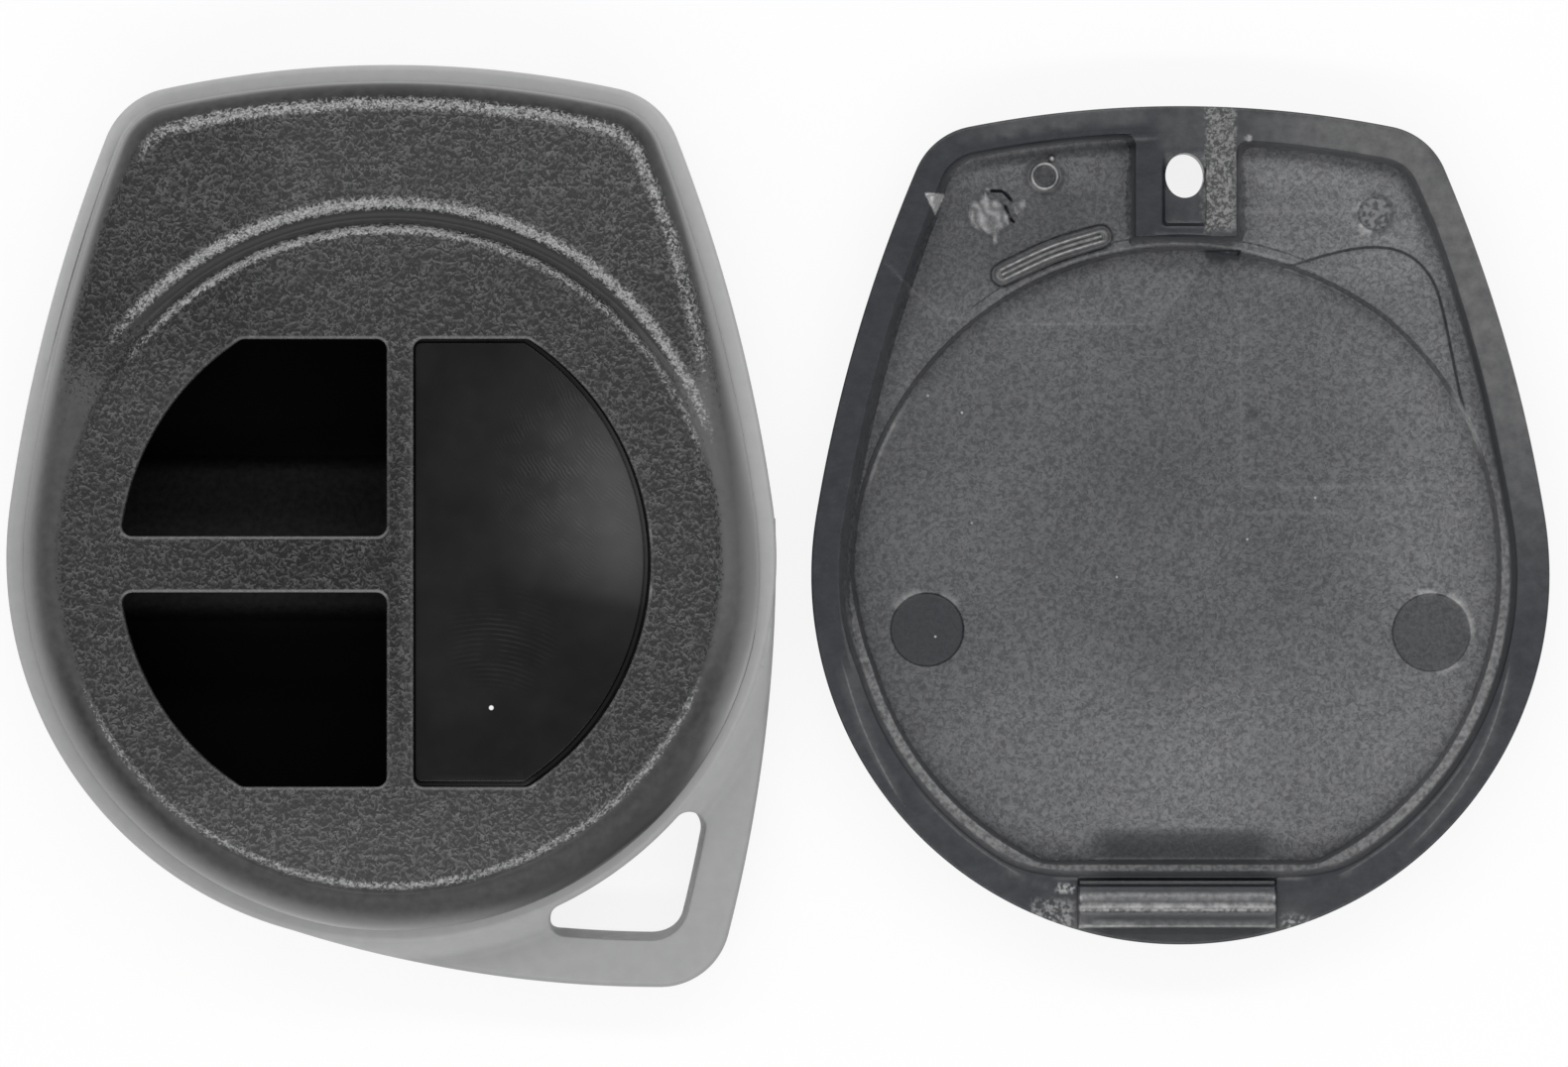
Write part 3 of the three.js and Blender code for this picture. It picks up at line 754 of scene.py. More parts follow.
# Painted highlights on the raised edges and the window lips, broken up by the grain
edge_highlight = painted(tree, "edge_highlight")
jagged = times(tree, jags, spread_of(tree, edge_highlight, 0, 0.4, 0, 1.4))
highlight_share = spread_of(tree, math_of(tree, "ADD", edge_highlight, jagged), 0.18, 1.05)
highlight_share = times(tree, highlight_share, spread_of(tree, fine, 0.35, 0.65, 0.45, 1.1))
highlight_share = math_of(tree, "MAXIMUM", highlight_share, painted(tree, "window_lip_highlight"))
colour = blend(tree, highlight_share, colour, (0.4, 0.4, 0.404))
grain_shine = {"Factor": grained, "A": 0.36, "B": spread_of(tree, worms, 0, 1, 0.17, 0.5)}
feed(tree, surface, {
    "Base Color": blend(tree, painted(tree, "shining_foot"), colour, (0.42, 0.42, 0.422)),
    "Roughness": spread_of(tree, grained, 0, 1, 0.42, 0.46),
    "Specular IOR Level": put(tree, "ShaderNodeMix", grain_shine, data_type="FLOAT").outputs["Result"],
    "Normal": bump_of(tree, fine, 0.003, Normal=bump_of(tree, times(tree, worms, grained), 0.03)),
})
smooth(front_cover, black_grain, 40)
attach(front_cover, "front_half")
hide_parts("front_cover")


# Badge plate
# The gloss black plate in the right window, a little below the face. It is a polished moulding with a flange
# that lies behind the cover's skin; the badge that would be stuck on it is left off.

badge_low, badge_high = box_mm("badge_plate")
BADGE = {"gap": 0.18, "edge": 0.12, "step": 0.3, "flange": 0.8, "flange_top": badge_low[2] + 1.0, "lattice": 0.35}
BADGE_MIDDLE = FRONT_MIDDLE + [-0.16, 0.05]
badge_section = [
    *bend(-BADGE["gap"] - BADGE["edge"], badge_high[2] - BADGE["edge"], BADGE["edge"], 90, 0),
    (-BADGE["gap"], badge_high[2] - BADGE["step"]),
    (0, badge_high[2] - BADGE["step"]),
    (0, BADGE["flange_top"]),
    (BADGE["flange"] - BADGE["edge"], BADGE["flange_top"]),
    (BADGE["flange"], BADGE["flange_top"] - BADGE["edge"]),
    (BADGE["flange"], badge_low[2]),
]
badge_rings = [lift(window_outline(WINDOWS["badge"], spread), height) for spread, height in badge_section]


def badge_face(ring, step=None):
    return relief([(ring[:, :2], True)], lambda x, y: in_polygon(ring[:, :2], x, y), ring[0, 2], step)


badge_skins = [loft(badge_rings), badge_face(badge_rings[0], BADGE["lattice"]), badge_face(badge_rings[-1])]
badge_plate = solid("gloss_badge_plate", badge_skins, BADGE_MIDDLE)

# Painted sheen towards the right edge, which ends in a slanting line, and painted light on the foot
x, y, _ = plan_of(badge_plate, FRONT_MIDDLE)
sheen = np.exp(-((x - 12.2) / 3.6) ** 2 - ((y - 3.6) / 5.6) ** 2) + 0.09 * bell(y, 1, 6) * rise(x, 2, 8)
above_edge = smoothstep((y + 1.6 + 0.15 * (x - 7.7)) / 1.2 + 0.5)
foot_edge = fall(y, -11.63, 0.1) * rise(x, 1.9, 0.5) * fall(x, 8.2, 0.8)
paint(badge_plate, "sheen", np.clip(sheen * (0.25 + 0.75 * above_edge) + foot_edge, 0, 1))


def badge_point(point):
    """A point of the plate's face, given from the middle of the front half."""
    return (FRONT_MIDDLE[0] + point[0]) * MM, (FRONT_MIDDLE[1] + point[1]) * MM


def swirl_of(tree, middle, spacing, wobble):
    """Rings of polishing marks round a point."""
    moved = vector_of(tree, "SUBTRACT", place_of(tree), (*badge_point(middle), 0))["Vector"]
    settings = {"Vector": moved, "Scale": 0.5 / (spacing * MM), "Distortion": wobble, "Detail": 2.0}
    return put(tree, "ShaderNodeTexWave", settings, wave_type="RINGS", rings_direction="Z").outputs["Fac"]


def near_point(tree, point, full, gone):
    """1 up to a distance in millimetres from a point, and 0 from a larger one on."""
    away = vector_of(tree, "DISTANCE", place_of(tree), (*badge_point(point), badge_high[2] * MM))["Value"]
    return spread_of(tree, times(tree, away, 1 / MM), full, gone, 1, 0)


black_gloss, tree, surface = new_finish("black_gloss_plastic")
RING_MIDDLE, STREAK_MIDDLE = (5.0, -11.5), (21.0, 14.0)
cloud = spread_of(tree, grain_of(tree, 4.0), 0.38, 0.66)
# Copies of the black out of the sheen and in it, blended by the painted sheen
dull = blend(tree, cloud, (0.0035, 0.0035, 0.0037), (0.0075, 0.0075, 0.0078))
sheen_lit_black = blend(tree, cloud, (0.05, 0.05, 0.051), (0.068, 0.068, 0.069))
sheen_painted_black = blend(tree, painted(tree, "sheen"), dull, sheen_lit_black)
# Polishing marks drawn lighter: rings round a point near the foot, and streaks lit within the painted sheen
rings = spread_of(tree, swirl_of(tree, RING_MIDDLE, 0.42, 1.2), 0.6, 1, 0, 0.14)
rings = times(tree, rings, near_point(tree, (5.9, -4.4), 0.8, 3.2))
rings = times(tree, rings, spread_of(tree, grain_of(tree, 1.6, Detail=3.0), 0.42, 0.6))
streaks = spread_of(tree, swirl_of(tree, STREAK_MIDDLE, 0.3, 6.0), 0.45, 1, 0, 0.4)
streaks = times(tree, streaks, near_point(tree, (11.5, 4.5), 2.0, 6.5))
streaks = times(tree, streaks, spread_of(tree, grain_of(tree, 1.2, Detail=3.0), 0.4, 0.62))
swirled = blend(tree, math_of(tree, "ADD", rings, streaks), sheen_painted_black, (0.09, 0.09, 0.091))
marks = bump_of(tree, swirl_of(tree, RING_MIDDLE, 0.5, 1.5), 0.0012)
marks = bump_of(tree, swirl_of(tree, STREAK_MIDDLE, 0.32, 2.5), 0.0008, Normal=marks)
feed(tree, surface, {
    "Base Color": blend(tree, near_point(tree, (5.33, -7.85), 0.1, 0.14), swirled, (0.8, 0.8, 0.8)),
    "Specular IOR Level": 0.2,
    "Roughness": spread_of(tree, grain_of(tree, 1.1), 0.3, 0.7, 0.2, 0.32),
    "Normal": bump_of(tree, grain_of(tree, 0.16), 0.002, Normal=marks),
})
smooth(badge_plate, black_gloss, 40)
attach(badge_plate, "front_half")
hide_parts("badge_plate")


# Transmitter tray
# The round black dish behind the windows that carries the transmitter. It is a plain unpolished moulding that
# drops out of the open back; a raised strip crosses its floor.

TRAY = {"r": (tray_high[0] - tray_low[0]) / 2, "wall": 1.0, "floor": 1.0, "fillet": 0.4, "edge": 0.15, "lattice": 0.7}
TRAY_STRIP = {"low": -3.5, "high": 5.6, "top": 1.9, "slope": 1.2, "half": 14.4}
tray_inner_r = TRAY["r"] - TRAY["wall"]
tray_floor_r = tray_inner_r - TRAY["fillet"]
tray_bottom, tray_top = tray_low[2], tray_high[2]


def tray_floor(x, y):
    strip = rise(y, TRAY_STRIP["low"], TRAY_STRIP["slope"]) * fall(y, TRAY_STRIP["high"], TRAY_STRIP["slope"])
    return TRAY["floor"] + (TRAY_STRIP["top"] - TRAY["floor"]) * strip


floor_edge = circle_of(tray_floor_r)
tray_lines = [(floor_edge, True)]
across = np.linspace(-TRAY_STRIP["half"], TRAY_STRIP["half"], 60)
for edge in (TRAY_STRIP["low"], TRAY_STRIP["high"] - TRAY_STRIP["slope"]):
    for part in np.linspace(0, 1, 6):
        slope_line = np.column_stack([across, np.full_like(across, edge + part * TRAY_STRIP["slope"])])
        tray_lines.append((slope_line, False))
tray_dish = relief(tray_lines, lambda x, y: np.hypot(x, y) < tray_floor_r, tray_floor, TRAY["lattice"])
tray_profile = [
    (tray_inner_r - 0.12, TRAY_STRIP["top"] + 0.1),
    (tray_inner_r, TRAY_STRIP["top"] + TRAY["fillet"]),
    (tray_inner_r, tray_top - TRAY["edge"]),
    (tray_inner_r + TRAY["edge"], tray_top),
    (TRAY["r"] - TRAY["edge"], tray_top),
    (TRAY["r"], tray_top - TRAY["edge"]),
    (TRAY["r"], tray_bottom + TRAY["edge"]),
    (TRAY["r"] - TRAY["edge"], tray_bottom),
]
tray_rings = [lift(floor_edge, tray_floor(floor_edge[:, 0], floor_edge[:, 1]))]
tray_rings.extend(lift(circle_of(radius), height) for radius, height in tray_profile)
tray_base = relief([(tray_rings[-1][:, :2], True)], lambda x, y: np.hypot(x, y) < TRAY["r"], tray_bottom)
transmitter_tray = solid("transmitter_tray_dish", [loft(tray_rings), tray_dish, tray_base], FRONT_MIDDLE)

# Painted light and shade: the raised strip is painted lighter, where light through the windows falls on it,
# and the low floor near-black, for the shade inside the closed half
_, _, z = plan_of(transmitter_tray, FRONT_MIDDLE)
paint(transmitter_tray, "raised", rise(z, TRAY["floor"], TRAY_STRIP["top"] - TRAY["floor"]))
black_inner, tree, surface = new_finish("black_inner_plastic")
tone = spread_of(tree, grain_of(tree, 0.3), 0.3, 0.7)
shaded_floor_black = blend(tree, tone, (0.0003, 0.0003, 0.0003), (0.0012, 0.0012, 0.0012))
lit_strip_black = blend(tree, tone, (0.0075, 0.0075, 0.0075), (0.014, 0.014, 0.014))
feed(tree, surface, {
    "Base Color": blend(tree, painted(tree, "raised"), shaded_floor_black, lit_strip_black),
    "Roughness": spread_of(tree, tone, 0, 1, 0.6, 0.7),
    "Specular IOR Level": 0.04,
    "Normal": bump_of(tree, grain_of(tree, 0.25), 0.008),
})
smooth(transmitter_tray, black_inner)
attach(transmitter_tray, "tray")
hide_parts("transmitter_tray")


# Cover screw
# The small self-tapping screw that holds the halves together, parked in the post with its head at the open back.
# Cold-headed steel with a rolled thread and a cross recess, zinc plated.

screw_low, screw_high = box_mm("cover_screw")
SCREW = {"head_r": (screw_high[0] - screw_low[0]) / 2, "head": 0.9, "shank_r": 0.66, "thread": 0.12, "pitch": 0.55}
SCREW_MIDDLE = np.array(POST["place"])
SCREW_SIDES, TURN_STEPS, TIP_LONG = 48, 12, 0.9
head_bottom = screw_low[2]
head_top = head_bottom + SCREW["head"]
thread_end = screw_high[2] - TIP_LONG
tip_start = thread_end + 0.05


def screw_ring(radius, height):
    return lift(circle_of(radius, SCREW_SIDES, SCREW_MIDDLE), height)


screw_section = [
    (0, head_bottom),
    (1.2, head_bottom + 0.02),
    (1.55, head_bottom + 0.12),
    (SCREW["head_r"], head_bottom + 0.4),
    (SCREW["head_r"], head_top - 0.1),
    (SCREW["head_r"] - 0.1, head_top),
    (SCREW["shank_r"] + 0.08, head_top),
]
screw_rings = [screw_ring(radius, height) for radius, height in screw_section]
for height in np.arange(head_top + 0.08, thread_end, SCREW["pitch"] / TURN_STEPS):
    wind = (height / SCREW["pitch"] - turns_of(SCREW_SIDES) / (2 * math.pi)) % 1
    crest = SCREW["thread"] * rise(height, head_top, 0.5) * np.clip(1 - np.abs(wind - 0.5) / 0.28, 0, 1)
    screw_rings.append(screw_ring(SCREW["shank_r"] + crest, height))
for part in (0.35, 0.7, 0.92, 1.0):
    tip_r = SCREW["shank_r"] * math.sqrt(1 - part ** 2)
    screw_rings.append(screw_ring(tip_r, tip_start + part * (screw_high[2] - thread_end - 0.05)))
cover_screw = solid("cover_screw_steel", [loft(screw_rings)], FRONT_MIDDLE)
RECESS_LONG, RECESS_HALF, RECESS_DEEP = 1.0, 0.2, 0.5
for reach in ((RECESS_LONG, RECESS_HALF), (RECESS_HALF, RECESS_LONG)):
    slot = block((*(SCREW_MIDDLE - reach), head_bottom - RECESS_DEEP),
                 (*(SCREW_MIDDLE + reach), head_bottom + RECESS_DEEP))
    combine(cover_screw, solid("cross_recess", [slot], FRONT_MIDDLE), "DIFFERENCE")

screw_steel, tree, surface = new_finish("zinc_plated_steel")
stain = spread_of(tree, grain_of(tree, 0.5), 0.35, 0.65)
feed(tree, surface, {
    "Base Color": blend(tree, stain, (0.42, 0.42, 0.41), (0.6, 0.6, 0.58)),
    "Metallic": 1.0,
    "Roughness": spread_of(tree, stain, 0, 1, 0.42, 0.28),
    "Normal": bump_of(tree, grain_of(tree, 0.08), 0.003),
})
smooth(cover_screw, screw_steel)
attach(cover_screw, "screw")
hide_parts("cover_screw")


# Rear cover
# The black cover that closes the back, lying with its inside up. One injection moulding: a smooth flat rim, a
# rough floor at the head that goes on as a ledge round the transmitter pocket, the screw block with its hole, the
# hook tongue at the foot, and the marks that moulding left: ejector rings, a torn gate, flash and witness lines.

rear_low, rear_high = box_mm("rear_cover")
REAR_BODY_R = (rear_high[0] - rear_low[0]) / 2
REAR_MIDDLE = np.array([(rear_low[0] + rear_high[0]) / 2, rear_low[1] + REAR_BODY_R])
rear_inset = fob_plan(
    body_r=REAR_BODY_R, side_r=80, side_from=math.radians(9.3), corner_r=3.8, head_y=rear_high[1] - REAR_MIDDLE[1]
)
RIM = {"top": 4.5, "edge": 0.12}
RIM_WIDTH = {
    -180: 1.38, -172: 1.42, -163: 1.7, 20: 1.7, 40: 1.6, 54: 1.52, 64: 1.68, 88: 1.7, 94: 1.36, 124: 1.36, 180: 1.38,
}
RIM_DRAFT = {-180: 0.7, -172: 0.6, -163: 0.36, 88: 0.36, 94: 0.3, 116: 0.3, 124: 0.7}
SHELL_ROUND = 1.8
HEAD_FLOOR = 2.7
LEDGE_OUT = 0.62
POCKET = {"r": 17.12, "y": 0.2, "floor": 1.3, "flat": -15.52, "corner_r": 2.5, "draft": 0.26}
POCKET_MIDDLE = (0, POCKET["y"])
POCKET_REACH = {
    -180: 17.45, -171: 17.2, -162: 17.05, -142: 17.12, -38: 17.12, -20: 17.04, 0: 17.02, 15: 17.12, 30: 17.32,
    50: 17.4, 75: 17.2, 110: 17.2, 135: 17.28, 165: 17.42, 180: 17.45,
}
BLOCK = {"low": (-2.35, 17.9), "high": (2.95, 26.0), "draft": 0.2, "long": (17.7, 23.2), "wide": (-2.6, 3.3)}
WELL = {"left": -1.02, "right": 1.38, "low": 18.38, "high": 22.6, "floor": 4.12, "long": (18.3, 22.7)}
SCREW_HOLE = {"place": (0.24, 21.1), "wide": 1.03, "high": 1.18}


def pocket_inset(x, y):
    """How far inside the round pocket with its flat lower side a point lies."""
    y = y - POCKET["y"]
    corner_r = POCKET["corner_r"]
    corner_y = POCKET["flat"] + corner_r
    corner_x = math.sqrt((POCKET["r"] - corner_r) ** 2 - corner_y ** 2)
    across = np.abs(x)
    plain = np.minimum(by_turn(np.arctan2(y, x), POCKET_REACH) - np.hypot(x, y), y - POCKET["flat"])
    turn = np.arctan2(y - corner_y, across - corner_x)
    at_corner = (turn > -math.pi / 2) & (turn < math.atan2(corner_y, corner_x))
    return np.where(at_corner, corner_r - np.hypot(across - corner_x, y - corner_y), plain)


def box_inset(low, high, x, y):
    return np.minimum(np.minimum(x - low[0], high[0] - x), np.minimum(y - low[1], high[1] - y))


def soft_min(first, second, soft):
    share = np.clip(0.5 + 0.5 * (second - first) / soft, 0, 1)
    return second + (first - second) * share - soft * share * (1 - share)


def rim_inset(x, y):
    """How far inside the rim and the ledge's straight lower end a point lies."""
    from_rim = rear_inset(x, y) - by_turn(np.arctan2(y, x), RIM_WIDTH)
    return soft_min(from_rim, y - POCKET["y"] - POCKET["flat"] + LEDGE_OUT, 1.0)


def rim_draft(x, y):
    return by_turn(np.arctan2(y, x), RIM_DRAFT)


def floor_inset(x, y):
    """How far inside the rim and outside the screw block a point lies."""
    return soft_min(rim_inset(x, y), -box_inset(BLOCK["low"], BLOCK["high"], x, y), 0.7)


def in_well(x, y):
    """The shallow well round the screw hole, which runs out towards the head."""
    across = rise(x, WELL["left"], 0.3) * fall(x, WELL["right"], 0.08)
    return across * rise(y, WELL["low"], 0.25) * fall(y, WELL["high"], 1.6)


def line_gap(line, x, y):
    """The distance to a line of points."""
    nearest = np.full(np.shape(x), 1e9)
    for (ax, ay), (bx, by) in zip(line[:-1], line[1:]):
        long2 = (bx - ax) ** 2 + (by - ay) ** 2
        part = np.clip(((x - ax) * (bx - ax) + (y - ay) * (by - ay)) / long2, 0, 1)
        nearest = np.minimum(nearest, np.hypot(x - ax - part * (bx - ax), y - ay - part * (by - ay)))
    return nearest


def patch_inset(outline, x, y):
    """How far inside a ragged patch a point lies."""
    gap = line_gap(np.vstack([outline, outline[:1]]), x, y)
    return np.where(in_polygon(outline, x, y), gap, -gap)


def rounded_line(points, rounds=3):
    """A line through a few points with its corners cut smooth."""
    line = np.array(points, float)
    for _ in range(rounds):
        ahead = line[:-1] * 0.75 + line[1:] * 0.25
        behind = line[:-1] * 0.25 + line[1:] * 0.75
        inner = np.stack([ahead, behind], axis=1).reshape(-1, 2)
        line = np.concatenate([line[:1], inner[1:-1], line[-1:]])
    return line


def ripple(x, y, size):
    """A fixed uneven pattern from -1 to 1 with lumps of about size."""
    a = np.sin(x / size * 2.1 + 1.3 * np.sin(y / size * 1.7 + 0.4))
    b = np.sin(y / size * 2.6 + 1.1 * np.sin(x / size * 1.9 + 2.0))
    return 0.5 * (a + b)


# The wavy step on the right of the head floor, with the floor lower between it and the pocket
WAVE = rounded_line([
    (5.4, 16.2), (7.6, 16.9), (9.4, 17.32), (11.1, 17.35), (12.5, 16.75), (13.48, 15.5),
    (13.93, 13.95), (14.36, 11.8), (14.72, 10.0), (15.05, 8.6), (15.45, 7.4),
])
WAVE_AREA = np.concatenate([WAVE, [(12.0, 3.0), (4.0, 10.0)]])
WAVE_DROP, WAVE_DRAFT = 0.36, 0.2

# The low step that follows the pocket's edge at the head
HEAD_STEP = {"r": 17.8, "drop": 0.16, "draft": 0.12, "from": math.radians(63), "to": math.radians(132)}

# The curved rib with its three ridges, and the small ring boss with a nub
RIB = {
    "line": rounded_line([(-9.37, 15.88), (-6.75, 17.16), (-4.17, 17.9)]),
    "half": 0.5, "top": 0.55, "ridge": 0.13, "moat": 0.1,
}
RIDGE_APART = 0.27
BOSS = {"place": (-7.14, 21.08), "r": 0.82, "bore": 0.5, "top": 0.55, "sunk": 0.1}
BOSS_NUB = {"place": (-6.76, 22.02), "r": 0.2, "top": 0.5}

# The ejector marks at the sides of the pocket and on the head floor
EJECTORS = [
    {"place": (-13.34, -2.88), "r": 2.0, "deep": 0.16, "edge": 0.14, "shade": 0.95},
    {"place": (13.34, -3.03), "r": 2.12, "deep": 0.13, "edge": 0.14, "shade": 0.7},
    {"place": (10.3, 19.1), "r": 0.95, "deep": 0.12, "edge": 0.2, "shade": 0.68},
]

# The torn gate with its wing and the two cracks beside it, and a loose chip of flash
GATE = np.array([
    (-11.24, 19.55), (-10.43, 20.1), (-10.29, 20.5), (-10.03, 20.44), (-10.11, 20.1), (-9.59, 19.77),
    (-9.19, 19.33), (-8.92, 19.0), (-9.04, 18.56), (-9.54, 18.23), (-9.48, 17.96), (-9.79, 17.34),
    (-9.94, 17.99), (-10.43, 18.12), (-11.0, 18.45), (-11.2, 19.0),
])
GATE_WING = np.array([(-8.7, 19.77), (-8.15, 19.88), (-8.04, 19.55), (-8.59, 19.0), (-8.81, 19.22)])
CRACKS = [
    rounded_line([(-9.95, 20.3), (-9.37, 20.34), (-8.92, 19.84)]),
    rounded_line([(-9.26, 19.55), (-9.04, 19.0), (-8.81, 18.67)]),
]
GATE_HIGH, GATE_WING_HIGH, FLASH_HIGH = 0.16, 0.12, 0.22
CRACK_DEEP, CRACK_HALF = 0.3, 0.08
FLASH = np.array([(-13.45, 20.15), (-12.48, 20.08), (-12.92, 19.08)])
NOTCH = {"low": (1.35, 16.7), "high": (3.2, 17.2), "floor": 1.4, "draft": 0.08}
DIP = {"left": -5.6, "right": 6.0, "top": -13.2, "deep": 0.14}

# Fine raised lines where parts of the mould met, and how light each of them is; the last two are drag marks
WITNESS = [
    rounded_line([(3.24, 14.6), (3.24, 6.2), (3.24, 5.5), (3.24, 4.7), (4.0, 4.7), (4.8, 4.7), (15.9, 4.7)]),
    np.array([(1.6, 3.3), (15.9, 3.3)]),
    np.array([(-8.6, 13.3), (-1.3, 13.3), (0.5, 15.4)]),
    np.array([(-15.6, 16.5), (-12.6, 13.65), (-11.2, 13.5)]),
    np.array([(2.9, 19.2), (8.8, 19.25)]),
    rounded_line([(-17.98, -4.15), (-16.9, -7.88), (-15.27, -11.09), (-14.5, -12.2)]),
    rounded_line([(17.46, -4.35), (16.63, -7.76), (15.24, -10.67), (13.24, -13.24), (11.6, -14.8)]),
]
WITNESS_HIGH, WITNESS_WIDE = 0.022, 0.07
WITNESS_SHARES = [0.08, 0.06, 0.12, 0.1, 0.1]
SPECKS = [(-10.98, 2.77), (-11.5, 8.6), (-13.3, 9.5), (-3.3, -0.1), (-12.9, -3.25), (3.6, 1.9), (7.2, 4.1)]
SPECK_R = 0.05
DARK_SPOT = (3.9, 8.6)

# The tongue's section from the rim inwards: the nose that hooks outwards, the stem, and the slot behind it
TONGUE = {"left": -5.45, "right": 5.1, "draft": 0.14, "long": (-18.9, -15.9)}
TONGUE_Y = [-19.0, -18.64, -18.54, -18.42, -17.78, -17.62, -17.5, -16.85, -16.42, -16.28, -16.12, -15.9]
TONGUE_Z = [4.5, 4.5, 5.15, 5.2, 5.6, 5.58, 5.42, 5.38, 5.3, 4.2, 4.16, 4.45]


def ring_round(place, x, y):
    return np.hypot(x - place[0], y - place[1])


def mix(low, high, part):
    return low + (high - low) * part


def in_dip(x, y):
    """The shallow dip in the pocket's floor behind the tongue: a crisp upper edge and soft sides."""
    return rise(x, DIP["left"], 2.2) * fall(x, DIP["right"], 2.2) * fall(y, DIP["top"], 0.55)


def rib_ridges(gap):
    return np.cos(gap * 2 * math.pi / RIDGE_APART)


def rear_height(x, y):
    """The height of the inside of the rear cover."""
    inside = smoothstep(floor_inset(x, y) / rim_draft(x, y))
    wave = line_gap(WAVE, x, y) * np.where(in_polygon(WAVE_AREA, x, y), 1, -1)
    turn = np.arctan2(y - POCKET["y"], x)
    step = rise(turn, HEAD_STEP["from"], 0.1) * fall(turn, HEAD_STEP["to"], 0.1)
    step = step * fall(np.hypot(x, y - POCKET["y"]), HEAD_STEP["r"], HEAD_STEP["draft"])
    rib_gap = line_gap(RIB["line"], x, y)
    boss = ring_round(BOSS["place"], x, y)
    height = (
        mix(RIM["top"], HEAD_FLOOR + 0.012 * ripple(x, y, 0.9), inside)
        - WAVE_DROP * smoothstep(wave / WAVE_DRAFT + 0.5)
        - HEAD_STEP["drop"] * step
        + fall(rib_gap, RIB["half"], 0.12) * (RIB["top"] + RIB["ridge"] * rib_ridges(rib_gap))
        - RIB["moat"] * smoothstep(1 - np.abs(rib_gap - RIB["half"] - 0.08) / 0.14)
        + BOSS["top"] * (fall(boss, BOSS["r"], 0.12) * rise(boss, BOSS["bore"], 0.12))
        - BOSS["sunk"] * fall(boss, BOSS["bore"], 0.2)
        + BOSS_NUB["top"] * fall(ring_round(BOSS_NUB["place"], x, y), BOSS_NUB["r"], 0.12)
        + (GATE_HIGH + 0.06 * ripple(x, y, 0.22)) * smoothstep(patch_inset(GATE, x, y) / 0.18)
        + GATE_WING_HIGH * smoothstep(patch_inset(GATE_WING, x, y) / 0.2)
    )
    for crack in CRACKS:
        height = height - CRACK_DEEP * smoothstep(1 - line_gap(crack, x, y) / CRACK_HALF)
    in_pocket = pocket_inset(x, y)
    height = mix(height, POCKET["floor"] + 0.008 * ripple(x, y, 1.6), smoothstep(in_pocket / POCKET["draft"]))
    for mark in EJECTORS:
        height = height - mark["deep"] * fall(ring_round(mark["place"], x, y), mark["r"], mark["edge"])
    for line in WITNESS:
        height = height + WITNESS_HIGH * smoothstep(1 - line_gap(line, x, y) / WITNESS_WIDE)
    height = height - DIP["deep"] * in_dip(x, y) * smoothstep(in_pocket / 0.4)
    notch = smoothstep(box_inset(NOTCH["low"], NOTCH["high"], x, y) / NOTCH["draft"])
    height = mix(height, np.minimum(height, NOTCH["floor"]), notch)
    height = mix(height, WELL["floor"], in_well(x, y))
    side = np.minimum(x - TONGUE["left"], TONGUE["right"] - x)
    tongue = smoothstep(side / TONGUE["draft"]) * (y < TONGUE_Y[-1]) * (y > TONGUE_Y[0])
    height = mix(height, np.interp(y, TONGUE_Y, TONGUE_Z), tongue)
    return height + FLASH_HIGH * smoothstep(patch_inset(FLASH, x, y) / 0.12)


def level_line(y, start, end, step=0.16):
    across = np.arange(start, end, step)
    return np.column_stack([across, np.full(len(across), y)])


def upright_line(x, start, end):
    return level_line(x, start, end)[:, ::-1]


def along_side(line, aside):
    """A line moved sideways."""
    ahead = np.gradient(line, axis=0)
    ahead /= np.hypot(ahead[:, 0], ahead[:, 1])[:, None]
    return line + aside * np.column_stack([-ahead[:, 1], ahead[:, 0]])


def dense(line, count=12):
    return np.concatenate([np.linspace(a, b, count, endpoint=False) for a, b in zip(line[:-1], line[1:])])


# Lines that the mesh follows, so that every step and edge of the inside is crisp
REAR_POINTS, INNER_POINTS, REAR_LATTICE = 900, 800, 0.24
RIM_LINES = [-0.24, -0.2, -0.16, -0.11, -0.05, 0, 0.05, 0.1, 0.15, 0.2, 0.26, 0.32, 0.38, 0.5, 0.65, 0.8]
POCKET_LINES = [-0.2, -0.15, -0.1, -0.05, 0, 0.04, 0.08, 0.13, 0.18, 0.23, 0.28, 0.34, 0.41, 0.5]
BOSS_LINES = [0.3, 0.4, 0.5, 0.56, 0.62, 0.7, 0.76, 0.82, 0.9, 0.98, 1.06, 1.15]
rim_edge = ring_at(rear_inset, RIM["edge"], count=REAR_POINTS)
hole_line = circle_of(1, 72) * [SCREW_HOLE["wide"], SCREW_HOLE["high"]] + SCREW_HOLE["place"]
lines = []


def follow(*made):
    lines.extend((line, False) for line in made)


def encircle(*made):
    lines.extend((line, True) for line in made)


def circle_lines(place, count, radii):
    encircle(*[circle_of(radius, count, place) for radius in radii])


def level_lines(heights, start, end, step=0.16):
    follow(*[level_line(height, start, end, step) for height in heights])


